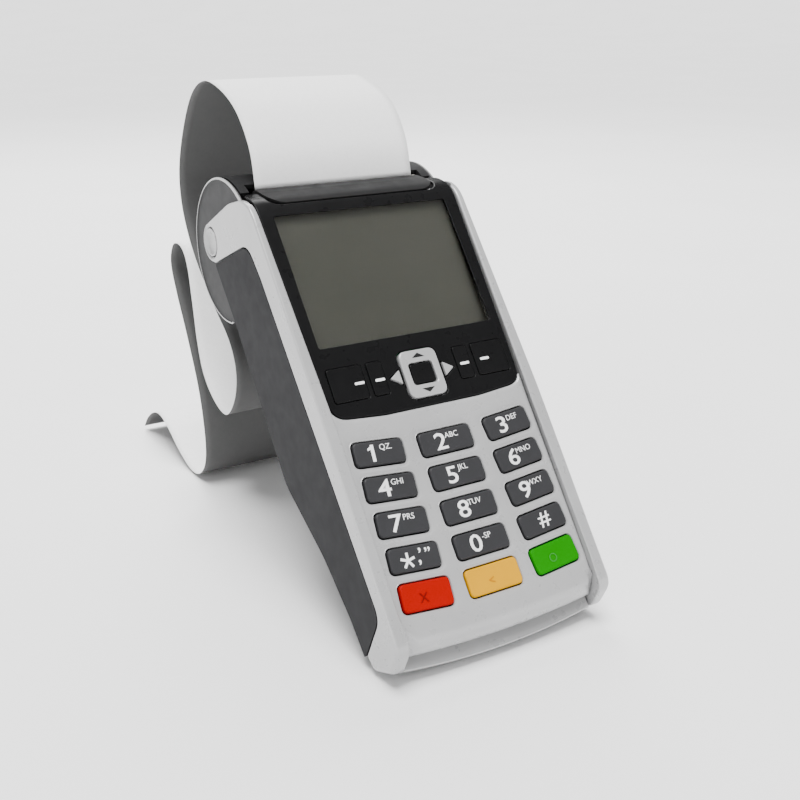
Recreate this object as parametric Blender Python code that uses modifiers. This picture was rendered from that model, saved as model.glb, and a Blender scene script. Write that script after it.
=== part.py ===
"""Card payment terminal with a receipt printer, standing on its lower end with a receipt hanging behind it.

Every size is in millimetres and is scaled to metres as its mesh is made. Shapes are drawn in the terminal's
own frame: u runs across it to the right, v up its length, w out of its face, and the origin is at the middle
of the top row of number keys, on the key tops. An empty leans that frame back, and a second one stands it on
the floor. The receipt hangs by gravity, so it is drawn upright, in the second empty's frame.
"""

import math

import bmesh
import bpy
from mathutils import Matrix, Vector

MM = 0.001
CLEAR = 0.3
LEAN_DEG = 52.8

# Casing, seen from the front
HALF_WIDTH = 38.4
WALL = 1.5
INNER_HALF = HALF_WIDTH - WALL
ARM_INNER = 34.4
ARM_INNER_HIGH = 36.1
END_ARM_INNER = 34.1
END_ARM_FROM = -52.0

# Casing, seen from the side: heights above the key tops
RIDGE = 1.5
RIDGE_HIGH = -1.2
PANEL_TOP = -0.8
PANEL_THICK = 2.0
PANEL_UNDER = PANEL_TOP - PANEL_THICK
BELLY = -37.2
FLOOR_THICK = 1.8

# Display
BEZEL_HALF = ARM_INNER - CLEAR
BEZEL_HALF_HIGH = ARM_INNER_HIGH - CLEAR
BEZEL_TOP = -0.6
BEZEL_THICK = 2.2
BEZEL_LOW = 10.9
BEZEL_LOW_SIDE = 12.4
BEZEL_DROP = 1.3
WINDOW_HALF = 31.0
WINDOW_LOW = 34.4
WINDOW_HIGH = 79.1
LENS_TOP = -2.4
LENS_THICK = 1.0
LCD_TOP = -4.7
LCD_UNDER = -8.8

# Keys
KEY_COLUMN_PITCH = 23.1
KEY_ROWS = (0.0, -10.7, -21.4, -32.1)
CONTROL_ROW = -43.0
MID_KEY_DROP = 0.9
KEY_TOP = 0.0
KEY_HEIGHT = 2.9
OUTER_KEY_WIDTH = 16.4
MID_KEY_WIDTH = 18.4
KEY_LENGTH = 7.2
CONTROL_KEY_LENGTH = 8.1
KEY_CORNER = 1.6
OUTER_KEY_TURN_DEG = 5.0
SOFT_KEYS = ((15.5, 2.5), (25.7, 5.8))
SOFT_KEY_V = 22.2
SOFT_KEY_HALF_LENGTH = 5.3
SOFT_KEY_TOP = BEZEL_TOP + 0.2
SOFT_KEY_HEIGHT = 2.6
NAV_V = 21.2
NAV_TOP = BEZEL_TOP + 0.7
NAV_HEIGHT = 3.0
MAT_HALF = 28.8
MAT_TOP = -3.9
BOARD_TOP = -4.8

# Card slot in the lower end
SLOT_TOP = -6.6
SLOT_FLOOR = -7.6
LIP_UNDER = -13.8
LIP_HALF = END_ARM_INNER - CLEAR
READER_HALF = 28.8
CONTACTS_V = -28.0
CONTACTS_TOP = -7.2
CONTACTS_UNDER = -10.4

# Paper drum at the upper end, and the printer in its mouth
DRUM_V = 83.3
DRUM_W = -32.9
DRUM_R = 24.0
DRUM_HALF = INNER_HALF - CLEAR
DRUM_WALL = 1.6
MOUTH_DEG = 58.0
SHOULDER_DEG = 68.0
SHOULDER_FROM = 32.1
HINGE_V = 60.5
HINGE_W = -41.5
PAPER_WIDTH = 58.0
ROLL_V = 80.0
ROLL_W = -35.0
ROLL_R = 16.0
CORE_R = 6.0
PLATEN_V = 91.5
PLATEN_W = -15.6
PLATEN_R = 3.3
TEAR_HALF = 30.4
GEAR_MODULE = 0.5
GEAR_U = 29.6
GEAR_THICK = 2.0
PINION_TEETH = 12
IDLER_TEETH = 19
PLATEN_TEETH = 14

# Swipe reader on the right-hand side
SWIPE_SLOT = 1.2
SWIPE_WALL = 1.6
MAG_V = 30.0

# Battery door in the underside
DOOR_HALF = 27.5
DOOR_LOW = 5.3
DOOR_HIGH = 50.0

# Four screws hold the casings together: the post positions and the height of their seats
POSTS = [(side * 31.6, v) for side in (-1, 1) for v in (-51.5, 7.0)]
SEAT = -18.4
POST_JOIN = -15.8
SCREW_HEAD = 1.1

RELEASE_V = 89.0
RELEASE_W = -36.8
RELEASE_R = 4.6
EAR_R = 6.35

# Receipt: the route of its middle line behind the terminal, as (back, up) from the key tops' origin
FLOOR = -57.4
RECEIPT_THICK = 0.4
RECEIPT_ROUTE = [
    (66.6, 67.4), (70.0, 80.0), (78.5, 90.3), (91.0, 96.3), (104.5, 98.5), (116.5, 93.0), (127.0, 80.0),
    (133.0, 66.0), (133.0, 53.0), (128.0, 42.0), (119.0, 31.0), (107.0, 20.0), (95.0, 10.5), (90.3, 0.0),
    (92.5, -11.0), (101.0, -19.5), (112.0, -18.0), (121.5, -10.0), (126.5, 3.0), (129.0, 18.0), (131.5, 30.0),
    (137.0, 36.3), (145.0, 36.0), (149.0, 28.0), (145.0, 16.5), (137.0, 2.0), (130.5, -12.0), (126.0, -26.0),
    (124.5, -40.0), (127.5, FLOOR + 7.2), (135.0, FLOOR + 1.2), (145.0, FLOOR + 0.8), (157.0, FLOOR + 4.8),
    (167.5, FLOOR + 10.6), (177.0, FLOOR + 13.2), (186.0, FLOOR + 11.4), (193.0, FLOOR + 7.0),
    (199.0, FLOOR + 0.9),
]  # fmt: skip


# ---- helpers -------------------------------------------------------------------------------------------------


def clear_scene():
    for old in list(bpy.data.objects):
        bpy.data.objects.remove(old)


def new_collection(name):
    made = bpy.data.collections.new(name)
    bpy.context.scene.collection.children.link(made)
    return made


def new_material(name, colour, roughness, metallic=0.0):
    made = bpy.data.materials.new(name)
    made.use_nodes = True
    shader = made.node_tree.nodes["Principled BSDF"]
    shader.inputs["Base Color"].default_value = (*colour, 1.0)
    shader.inputs["Roughness"].default_value = roughness
    shader.inputs["Metallic"].default_value = metallic
    return made


def fillet(corners, steps=4):
    """The outline through (x, y, radius) corners, each rounded to its radius with short straight steps."""
    outline = []
    for i, (x, y, radius) in enumerate(corners):
        corner = Vector((x, y))
        before = Vector(corners[i - 1][:2]) - corner
        after = Vector(corners[(i + 1) % len(corners)][:2]) - corner
        half_angle = before.angle(after) / 2
        if radius <= 0 or half_angle > math.radians(89.5):
            outline.append(corner)
            continue
        reach = min(radius / math.tan(half_angle), before.length * 0.49, after.length * 0.49)
        start = corner + before.normalized() * reach
        end = corner + after.normalized() * reach
        for k in range(steps + 1):
            t = k / steps
            outline.append(start * (1 - t) ** 2 + corner * 2 * t * (1 - t) + end * t**2)
    return outline


def box_outline(x_low, x_high, y_low, y_high, radius=0.0, steps=4):
    corners = [(x_low, y_low), (x_high, y_low), (x_high, y_high), (x_low, y_high)]
    return fillet([(x, y, radius) for x, y in corners], steps)


def circle_outline(x, y, radius, sides):
    turns = [2 * math.pi * k / sides for k in range(sides)]
    return [Vector((x + radius * math.cos(a), y + radius * math.sin(a))) for a in turns]


AXIS_FRAMES = {
    # an outline's x, its y and the sweep's direction, as axes of the terminal's frame
    "u": (Vector((0, 1, 0)), Vector((0, 0, 1)), Vector((1, 0, 0))),
    "w": (Vector((1, 0, 0)), Vector((0, 1, 0)), Vector((0, 0, 1))),
}


def add_prism(bm, outline, low, high, along):
    """Adds an outline swept from low to high along u or w to a mesh."""
    x_axis, y_axis, sweep = AXIS_FRAMES[along]
    base = [bm.verts.new(x_axis * p[0] + y_axis * p[1] + sweep * low) for p in outline]
    face = bm.faces.new(base)
    swept = bmesh.ops.extrude_face_region(bm, geom=[face])["geom"]
    top = [g for g in swept if isinstance(g, bmesh.types.BMVert)]
    bmesh.ops.translate(bm, verts=top, vec=sweep * (high - low))
    return bm


def prism(outline, low, high, along):
    bm = bmesh.new()
    add_prism(bm, outline, low, high, along)
    bmesh.ops.recalc_face_normals(bm, faces=bm.faces)
    return bm


def block(u_range, v_range, w_range, radius=0.0):
    """A block between two corners, its corners rounded as seen from the face."""
    return prism(box_outline(*u_range, *v_range, radius), *w_range, "w")


def rod(v, w, radius, low, high, sides=24):
    """A round bar along u."""
    return prism(circle_outline(v, w, radius, sides), low, high, "u")


def bevel_edges(bm, width, chosen, segments=2):
    """Rounds the edges whose two ends both pass the test."""
    edges = [e for e in bm.edges if e.calc_face_angle(0) > 0.3 and all(chosen(v.co) for v in e.verts)]
    bmesh.ops.bevel(
        bm, geom=edges, offset=width, segments=segments, affect="EDGES", profile=0.5, clamp_overlap=True
    )
    return bm


def add_turned_bar(bm, steps, u, v, sides=16):
    """Adds a round stepped bar along w through (u, v) to a mesh: steps are (w, radius) from low to high."""
    profile = [(steps[0][0], 0.0), *steps, (steps[-1][0], 0.0)]
    line = [bm.verts.new((u + radius, v, w)) for w, radius in profile]
    edges = [bm.edges.new(pair) for pair in zip(line, line[1:])]
    bmesh.ops.spin(bm, geom=line + edges, cent=(u, v, 0), axis=(0, 0, 1), angle=2 * math.pi, steps=sides)
    bmesh.ops.remove_doubles(bm, verts=list(bm.verts), dist=0.001)
    bmesh.ops.recalc_face_normals(bm, faces=bm.faces)


class Builder:
    """Puts meshes into the scene: the parts in one collection, the cutters in another."""

    def __init__(self):
        self.parts = new_collection("card_payment_terminal")
        self.cutters = new_collection("cutters")
        self.stand = self.empty("stand", None)
        self.terminal = self.empty("terminal", self.stand)
        self.terminal.rotation_euler = (math.radians(LEAN_DEG), 0.0, 0.0)

    def empty(self, name, parent):
        made = bpy.data.objects.new(name, None)
        made.parent = parent
        self.parts.objects.link(made)
        return made

    def link(self, name, bm, at, parent, collection):
        """One object whose origin is at a point of its parent's frame, where the mesh was drawn."""
        bmesh.ops.translate(bm, verts=bm.verts, vec=-Vector(at))
        bmesh.ops.scale(bm, verts=bm.verts, vec=(MM, MM, MM))
        mesh = bpy.data.meshes.new(name)
        bm.to_mesh(mesh)
        bm.free()
        made = bpy.data.objects.new(name, mesh)
        made.location = Vector(at) * MM
        made.parent = parent
        collection.objects.link(made)
        return made

    def node(self, name, bm, material, at=(0, 0, 0), parent=None, smooth=False):
        made = self.link(name, bm, at, parent or self.terminal, self.parts)
        made.data.materials.append(material)
        if smooth:
            made.data.shade_smooth()
            made.data.set_sharp_from_angle(angle=math.radians(35))
        return made

    def cutter(self, name, bm):
        made = self.link(name, bm, (0, 0, 0), self.terminal, self.cutters)
        made.display_type = "WIRE"
        made.hide_render = True
        return made

    def combine(self, target, operation, name, bm):
        """A Boolean of target with another shape: DIFFERENCE, UNION or INTERSECT."""
        step = target.modifiers.new(name, "BOOLEAN")
        step.operation = operation
        step.object = self.cutter(f"{target.name}_{name}", bm)
        return target

    def cut(self, target, name, bm):
        return self.combine(target, "DIFFERENCE", name, bm)


def make_materials():
    return {
        "silver": new_material("silver_plastic", (0.60, 0.60, 0.61), 0.35),
        "dark": new_material("dark_plastic", (0.062, 0.062, 0.066), 0.42),
        "cover": new_material("cover_plastic", (0.12, 0.12, 0.122), 0.40),
        "black": new_material("black_plastic", (0.02, 0.02, 0.021), 0.22),
        "glass": new_material("display_glass", (0.35, 0.36, 0.33), 0.05),
        "lcd": new_material("lcd_grey", (0.115, 0.115, 0.095), 0.30),
        "key": new_material("key_grey", (0.085, 0.085, 0.09), 0.35),
        "red": new_material("key_red", (0.66, 0.012, 0.006), 0.35),
        "yellow": new_material("key_yellow", (1.0, 0.62, 0.0), 0.35),
        "green": new_material("key_green", (0.015, 0.37, 0.01), 0.35),
        "nylon": new_material("gear_nylon", (0.72, 0.71, 0.66), 0.50),
        "rubber": new_material("platen_rubber", (0.03, 0.03, 0.032), 0.75),
        "steel": new_material("steel", (0.55, 0.55, 0.56), 0.30, 1.0),
        "board": new_material("circuit_board", (0.02, 0.16, 0.07), 0.45),
        "battery": new_material("battery_wrap", (0.05, 0.05, 0.055), 0.55),
        "silicone": new_material("silicone_rubber", (0.30, 0.30, 0.31), 0.70),
        "gold": new_material("gold_contact", (0.83, 0.60, 0.22), 0.25, 1.0),
        "card": new_material("core_card", (0.45, 0.36, 0.25), 0.85),
        "paper": new_material("thermal_paper", (0.86, 0.86, 0.85), 0.60),
    }


# ---- casings -------------------------------------------------------------------------------------------------


def upper_side_outline():
    """The light casing from the side: ridge, rounded lower end, seam, and the ear that ends round."""
    button_end = [(*(Vector((RELEASE_V, RELEASE_W)) + EAR_R * Vector((math.cos(a), math.sin(a)))), 0.0)
                  for a in (math.radians(-140 + 16 * k) for k in range(10))]
    return fillet([
        (-56.5, RIDGE, 6.0), (-61.2, -7.0, 5.0), (-58.6, -17.8, 3.0), (-53.5, -17.8, 0.6), (-45.7, -3.3, 6.0),
        (22.0, -6.9, 0.0), (62.0, -8.8, 0.0), (74.9, -10.6, 8.0), (82.2, -38.2, 0.6), *button_end,
        (91.6, -15.5, 20.0), (85.6, RIDGE_HIGH, 14.0), (10.0, RIDGE - 0.3, 60.0),
    ])  # fmt: skip


def lower_side_outline():
    """The dark casing from the side: it follows the seam, then the drum's underside, the belly and its taper."""
    return fillet([
        (-53.2, -18.2, 0.4), (-45.4, -3.7, 6.0), (22.0, -7.2, 0.0), (62.0, -9.1, 0.0), (74.6, -10.9, 8.0),
        (81.8, -38.5, 1.0), (59.0, BELLY, 1.0), (4.0, BELLY, 15.0), (-22.0, -26.5, 25.0), (-42.0, -21.6, 10.0),
        (-55.2, -19.9, 1.0), (-55.4, -18.3, 0.4),
    ])  # fmt: skip


def end_arc(v_side, v_middle, half, steps=12):
    """The bowed lower edge of the panel or the lip, as (u, v) points from left to right."""
    points = []
    for k in range(steps + 1):
        u = half * (2 * k / steps - 1)
        points.append(Vector((u, v_middle + (v_side - v_middle) * (u / half) ** 2)))
    return points


def make_upper_casing(b, mat):
    shell = prism(upper_side_outline(), -HALF_WIDTH, HALF_WIDTH, "u")
    bevel_edges(shell, 2.0, lambda p: abs(p.x) > HALF_WIDTH - 0.01 and upper_edge_is_round(p), 3)
    casing = b.node("upper_casing", shell, mat["silver"], smooth=True)
    between_arms = [(ARM_INNER, END_ARM_FROM), (ARM_INNER, 8.0), (ARM_INNER_HIGH, 80.0), (ARM_INNER_HIGH, 110.0)]
    between_arms += [(-u, v) for u, v in reversed(between_arms)]
    b.cut(casing, "middle", prism(between_arms, -60, 10, "w"))
    b.cut(casing, "lower_middle", block((-END_ARM_INNER, END_ARM_INNER), (-80, END_ARM_FROM + 1), (-60, 10)))
    b.cut(casing, "under", block((-INNER_HALF, INNER_HALF), (END_ARM_FROM, 110), (-60, PANEL_UNDER)))
    b.combine(casing, "UNION", "panel", make_panel())
    b.combine(casing, "UNION", "roll", make_end_roll())
    b.combine(casing, "UNION", "posts", post_bars(PANEL_UNDER + 0.5, POST_JOIN, 2.4))
    b.cut(casing, "screw_holes", post_bars(-6.0, POST_JOIN - 5, 1.2))
    b.cut(casing, "key_holes", all_key_holes())
    release = bmesh.new()
    for side in (-1, 1):
        low, high = sorted((side * (INNER_HALF - 1), side * (HALF_WIDTH + 1)))
        add_prism(release, circle_outline(RELEASE_V, RELEASE_W, RELEASE_R + CLEAR, 24), low, high, "u")
    bmesh.ops.recalc_face_normals(release, faces=release.faces)
    b.cut(casing, "release_holes", release)
    return casing


def upper_edge_is_round(point):
    """True on the outside edges of the light casing, false along its seam with the dark one."""
    v, w = point.y, point.z
    on_seam = -53.7 < v < 81.0 and w < -2.0
    return not on_seam


def make_panel():
    """The keypad panel between the arms, with its bowed lower edge."""
    half = ARM_INNER + 1.0
    under_bezel = bezel_low_edge(CLEAR)
    horn = under_bezel[0].y
    panel = end_arc(-55.6, -57.2, half) + [Vector((half, horn)), *reversed(under_bezel), Vector((-half, horn))]
    return prism(panel, PANEL_UNDER, PANEL_TOP, "w")


def bezel_low_edge(grow=0.0):
    """The bezel's lower edge with its two round corners, as (u, v) points from left to right."""
    half, side_low, middle_low = BEZEL_HALF + grow, BEZEL_LOW_SIDE - grow, BEZEL_LOW - grow
    edge = fillet([(-half, 40.0, 0), (-half, side_low, 6.0 + grow), (-17.0, middle_low, 30.0),
                   (17.0, middle_low, 30.0), (half, side_low, 6.0 + grow), (half, 40.0, 0)])
    return edge[1:-1]


def make_end_roll():
    """The panel's lower end, rolled down to the card slot."""
    half = END_ARM_INNER + 0.6
    outline = end_arc(-57.4, -59.0, half) + [Vector((half, -54.2)), Vector((-half, -54.2))]
    roll = prism(outline, SLOT_TOP, PANEL_TOP, "w")
    return bevel_edges(roll, 2.6, lambda p: p.z > PANEL_TOP - 0.01 and p.y < -57.0, 3)


def post_bars(high, low, radius):
    bars = bmesh.new()
    for u, v in POSTS:
        add_prism(bars, circle_outline(u, v, radius, 16), low, high, "w")
    bmesh.ops.recalc_face_normals(bars, faces=bars.faces)
    return bars


def make_lower_casing(b, mat):
    shell = prism(lower_side_outline(), -HALF_WIDTH, HALF_WIDTH, "u")
    bevel_edges(shell, 4.5, lambda p: abs(p.x) > HALF_WIDTH - 0.01 and p.z < -17.0 and p.y < 60.0, 3)
    casing = b.node("lower_casing", shell, mat["dark"], smooth=True)
    inside = [
        (-52.4, 8), (57.5, 8), (57.5, BELLY + FLOOR_THICK), (4.0, BELLY + FLOOR_THICK), (-22.0, -24.7),
        (-42.0, -19.8), (-52.4, -18.4),
    ]  # fmt: skip
    b.cut(casing, "inside", prism(inside, -INNER_HALF, INNER_HALF, "u"))
    b.cut(casing, "drum_bay", block((-INNER_HALF, INNER_HALF), (59.0, 110), (-60, 8)))
    b.cut(casing, "display_room", block((-INNER_HALF, INNER_HALF), (57.0, 60.0), (-16.0, 8)))
    b.combine(casing, "UNION", "posts", lower_posts())
    for name, reach, v_high, low in (("corners", HALF_WIDTH + 2, -53.6, -30), ("arm_room", INNER_HALF - 1, -51.7, -18.1)):
        room = bmesh.new()
        for side in (-1, 1):
            span = sorted((side * (END_ARM_INNER - CLEAR), side * reach))
            add_prism(room, box_outline(*span, -60.0, v_high), low, -10, "w")
        bmesh.ops.recalc_face_normals(room, faces=room.faces)
        b.cut(casing, name, room)
    bores = bmesh.new()
    for u, v in POSTS:
        add_turned_bar(bores, [(-45, 2.5), (SEAT, 2.5), (SEAT, 1.3), (-10, 1.3)], u, v)
    b.cut(casing, "screw_bores", bores)
    b.cut(casing, "battery_bay", block((-DOOR_HALF - CLEAR, DOOR_HALF + CLEAR),
                                       (DOOR_LOW - CLEAR, DOOR_HIGH + CLEAR), (-45, BELLY + FLOOR_THICK + 1), 1.5))
    b.combine(casing, "UNION", "hinge_lugs", hinge_knuckles((24.0, 30.0), 57.6))
    b.cut(casing, "hinge_bore", rod(HINGE_V, HINGE_W, 1.5, -33, 33, 16))
    b.cut(casing, "mag_window", block((30, 45), (MAG_V - 6.0, MAG_V + 6.0), (-13.0, -8.8)))
    return casing


def lower_posts():
    posts = bmesh.new()
    for u, v in POSTS:
        foot = BELLY + 1.0 if v > 0 else -19.4
        add_prism(posts, circle_outline(u, v, 3.4, 16), foot, POST_JOIN - CLEAR, "w")
    bmesh.ops.recalc_face_normals(posts, faces=posts.faces)
    return posts


def hinge_knuckles(span, v_from):
    """Two lugs round the hinge axis, one each side, over a span of u, joined to what lies above them."""
    lugs = bmesh.new()
    outline = fillet([(v_from, BELLY + 0.6, 0), (v_from, HINGE_W - 1.5, 1.5), (HINGE_V + 2.4, HINGE_W - 2.4, 2.2),
                      (HINGE_V + 2.4, HINGE_W + 2.0, 2.0), (58.9, BELLY + 0.6, 0)])  # fmt: skip
    for side in (-1, 1):
        low, high = sorted((side * span[0], side * span[1]))
        add_prism(lugs, outline, low, high, "u")
    bmesh.ops.recalc_face_normals(lugs, faces=lugs.faces)
    return lugs


def make_card_lip(b, mat):
    """The lower jaw of the card slot, bowed like the panel above it."""
    outline = end_arc(-61.1, -63.4, LIP_HALF) + [Vector((LIP_HALF, -54.4)), Vector((-LIP_HALF, -54.4))]
    lip = prism(outline, LIP_UNDER, SLOT_FLOOR, "w")
    bevel_edges(lip, 0.9, lambda p: p.y < -61.0, 2)
    return b.node("card_slot_lip", lip, mat["silver"], smooth=True)


def make_screws(b, mat):
    for number, (u, v) in enumerate(POSTS, 1):
        screw = bmesh.new()
        add_turned_bar(screw, [(SEAT - CLEAR - SCREW_HEAD, 2.0), (SEAT - CLEAR, 2.0), (SEAT - CLEAR, 0.9), (-7.0, 0.9)], u, v)
        b.node(f"case_screw_{number}", screw, mat["steel"], at=(u, v, SEAT), smooth=True)


# ---- display -------------------------------------------------------------------------------------------------


def bezel_plan():
    high = [Vector((BEZEL_HALF_HIGH, 80.0)), Vector((BEZEL_HALF_HIGH, 94.0))]
    return bezel_low_edge() + high + [Vector((-u, v)) for u, v in reversed(high)]


def make_bezel(b, mat):
    under = BEZEL_TOP - BEZEL_THICK
    side = fillet([
        (8.0, BEZEL_TOP, 0), (31.0, BEZEL_TOP, 90.0), (80.6, BEZEL_TOP - BEZEL_DROP, 12.0), (86.4, -3.8, 6.0),
        (90.6, -8.4, 0), (88.8, -8.9, 0), (85.0, -5.9, 4.0), (80.0, under - BEZEL_DROP, 8.0), (31.0, under, 90.0),
        (8.0, under, 0),
    ])  # fmt: skip
    bezel = b.node("display_bezel", prism(side, -40, 40, "u"), mat["black"], smooth=True)
    b.combine(bezel, "INTERSECT", "plan", prism(bezel_plan(), -30, 10, "w"))
    window = block((-WINDOW_HALF, WINDOW_HALF), (WINDOW_LOW, WINDOW_HIGH), (-10, 5), 1.0)
    b.cut(bezel, "window", window)
    ledge = (-WINDOW_HALF - 1.2, WINDOW_HALF + 1.2), (WINDOW_LOW - 1.2, WINDOW_HIGH + 1.2)
    b.cut(bezel, "lens_ledge", block(*ledge, (-10, LENS_TOP + CLEAR / 2), 1.5))
    b.cut(bezel, "tear_notch", block((-TEAR_HALF - 0.4, TEAR_HALF + 0.4), (83.4, 110), (-30, 10)))
    holes = bmesh.new()
    for side_sign in (-1, 1):
        for u, half in SOFT_KEYS:
            add_prism(holes, soft_key_outline(side_sign * u, half, CLEAR), -10, 5, "w")
        add_prism(holes, nav_arrow_outline(side_sign, CLEAR), -10, 5, "w")
    add_prism(holes, nav_ring_outline(CLEAR + 0.1), -10, 5, "w")
    bmesh.ops.recalc_face_normals(holes, faces=holes.faces)
    b.cut(bezel, "key_holes", holes)


def soft_key_outline(u, half, grow=0.0):
    half, length = half + grow, SOFT_KEY_HALF_LENGTH + grow
    return box_outline(u - half, u + half, SOFT_KEY_V - length, SOFT_KEY_V + length, 0.9 + grow, 2)


def nav_ring_outline(grow=0.0):
    return box_outline(-6.6 - grow, 6.6 + grow, NAV_V - 7.6 - grow, NAV_V + 7.6 + grow, 2.6 + grow, 3)


def nav_arrow_outline(side, grow=0.0):
    """A small triangle pointing away from the ring."""
    tip, root, half = 11.4 + grow * 1.6, 7.8 - grow, 2.3 + grow * 1.6
    triangle = [(side * tip, NAV_V, 0.3), (side * root, NAV_V + half, 0.2), (side * root, NAV_V - half, 0.2)]
    return fillet(triangle, 2)


def make_display(b, mat):
    lens_half = WINDOW_HALF + 1.2 - CLEAR
    lens_span = (WINDOW_LOW - 1.2 + CLEAR, WINDOW_HIGH + 1.2 - CLEAR)
    b.node("display_lens", block((-lens_half, lens_half), lens_span, (LENS_TOP - LENS_THICK, LENS_TOP), 1.2),
           mat["glass"])
    b.node("lcd_module", block((-32.6, 32.6), (32.6, 80.6), (LCD_UNDER, LCD_TOP)), mat["lcd"])


# ---- keys ----------------------------------------------------------------------------------------------------


def key_outline(column, row_v, length, grow=0.0):
    """A key's outline: the outer keys turn a little, so that each row bows downwards in the middle."""
    width = MID_KEY_WIDTH if column == 0 else OUTER_KEY_WIDTH
    centre = Vector((column * KEY_COLUMN_PITCH, row_v - (MID_KEY_DROP if column == 0 else 0.0)))
    turn = Matrix.Rotation(math.radians(OUTER_KEY_TURN_DEG) * column, 2)
    corners = box_outline(-width / 2 - grow, width / 2 + grow, -length / 2 - grow, length / 2 + grow,
                          KEY_CORNER + grow, 3)
    return [centre + turn @ p for p in corners], centre


def key_table():
    """Every keypad key: its name, column, row position, length and material."""
    names = [("1", "2", "3"), ("4", "5", "6"), ("7", "8", "9"), ("star", "0", "hash")]
    table = []
    for row_v, row in zip(KEY_ROWS, names):
        table += [(f"key_{name}", column, row_v, KEY_LENGTH, "key") for column, name in zip((-1, 0, 1), row)]
    controls = [("key_cancel", -1, "red"), ("key_correct", 0, "yellow"), ("key_confirm", 1, "green")]
    table += [(name, column, CONTROL_ROW, CONTROL_KEY_LENGTH, colour) for name, column, colour in controls]
    return table


def all_key_holes():
    holes = bmesh.new()
    for _, column, row_v, length, _ in key_table():
        add_prism(holes, key_outline(column, row_v, length, CLEAR)[0], -10, 5, "w")
    bmesh.ops.recalc_face_normals(holes, faces=holes.faces)
    return holes


def make_keys(b, mat):
    for name, column, row_v, length, colour in key_table():
        outline, centre = key_outline(column, row_v, length)
        cap = prism(outline, KEY_TOP - KEY_HEIGHT, KEY_TOP, "w")
        bevel_edges(cap, 0.5, lambda p: p.z > KEY_TOP - 0.01, 1)
        b.node(name, cap, mat[colour], at=(*centre, KEY_TOP), smooth=True)
    b.node("keypad_mat", block((-MAT_HALF, MAT_HALF), (-47.0, 28.6), (MAT_TOP - 0.6, MAT_TOP), 2.0), mat["silicone"])
    b.node("keypad_board", block((-MAT_HALF, MAT_HALF), (-48.5, 30.0), (BOARD_TOP - 0.8, BOARD_TOP), 1.0), mat["board"])


def make_soft_keys(b, mat):
    positions = [(-u, half) for u, half in reversed(SOFT_KEYS)] + list(SOFT_KEYS)
    for number, (u, half) in enumerate(positions, 1):
        cap = prism(soft_key_outline(u, half), SOFT_KEY_TOP - SOFT_KEY_HEIGHT, SOFT_KEY_TOP, "w")
        bevel_edges(cap, 0.35, lambda p: p.z > SOFT_KEY_TOP - 0.01, 1)
        b.node(f"function_key_{number}", cap, mat["black"], at=(u, SOFT_KEY_V, SOFT_KEY_TOP), smooth=True)


def make_navigation(b, mat):
    under, centre_top, arrow_top = NAV_TOP - NAV_HEIGHT, NAV_TOP - 0.3, NAV_TOP - 0.2
    ring = prism(nav_ring_outline(), under, NAV_TOP, "w")
    bevel_edges(ring, 0.4, lambda p: p.z > NAV_TOP - 0.01, 1)
    ring = b.node("nav_ring", ring, mat["silver"], at=(0, NAV_V, under), smooth=True)
    b.cut(ring, "centre", prism(box_outline(-4.3, 4.3, NAV_V - 3.6, NAV_V + 3.6, 1.3, 3), -10, 5, "w"))
    centre = prism(box_outline(-3.9, 3.9, NAV_V - 3.2, NAV_V + 3.2, 1.0, 3), under, centre_top, "w")
    bevel_edges(centre, 0.3, lambda p: p.z > centre_top - 0.01, 1)
    b.node("nav_centre", centre, mat["black"], at=(0, NAV_V, centre_top), smooth=True)
    for side, name in ((-1, "nav_left"), (1, "nav_right")):
        arrow = prism(nav_arrow_outline(side), under, arrow_top, "w")
        b.node(name, arrow, mat["silver"], at=(side * 9.0, NAV_V, arrow_top))


# ---- paper cover, printer and paper --------------------------------------------------------------------------


def drum_point(radius, angle_deg):
    angle = math.radians(angle_deg)
    return Vector((DRUM_V + radius * math.cos(angle), DRUM_W + radius * math.sin(angle)))


def drum_arc(radius, start_deg, end_deg, steps):
    return [drum_point(radius, start_deg + (end_deg - start_deg) * k / steps) for k in range(steps + 1)]


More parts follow.
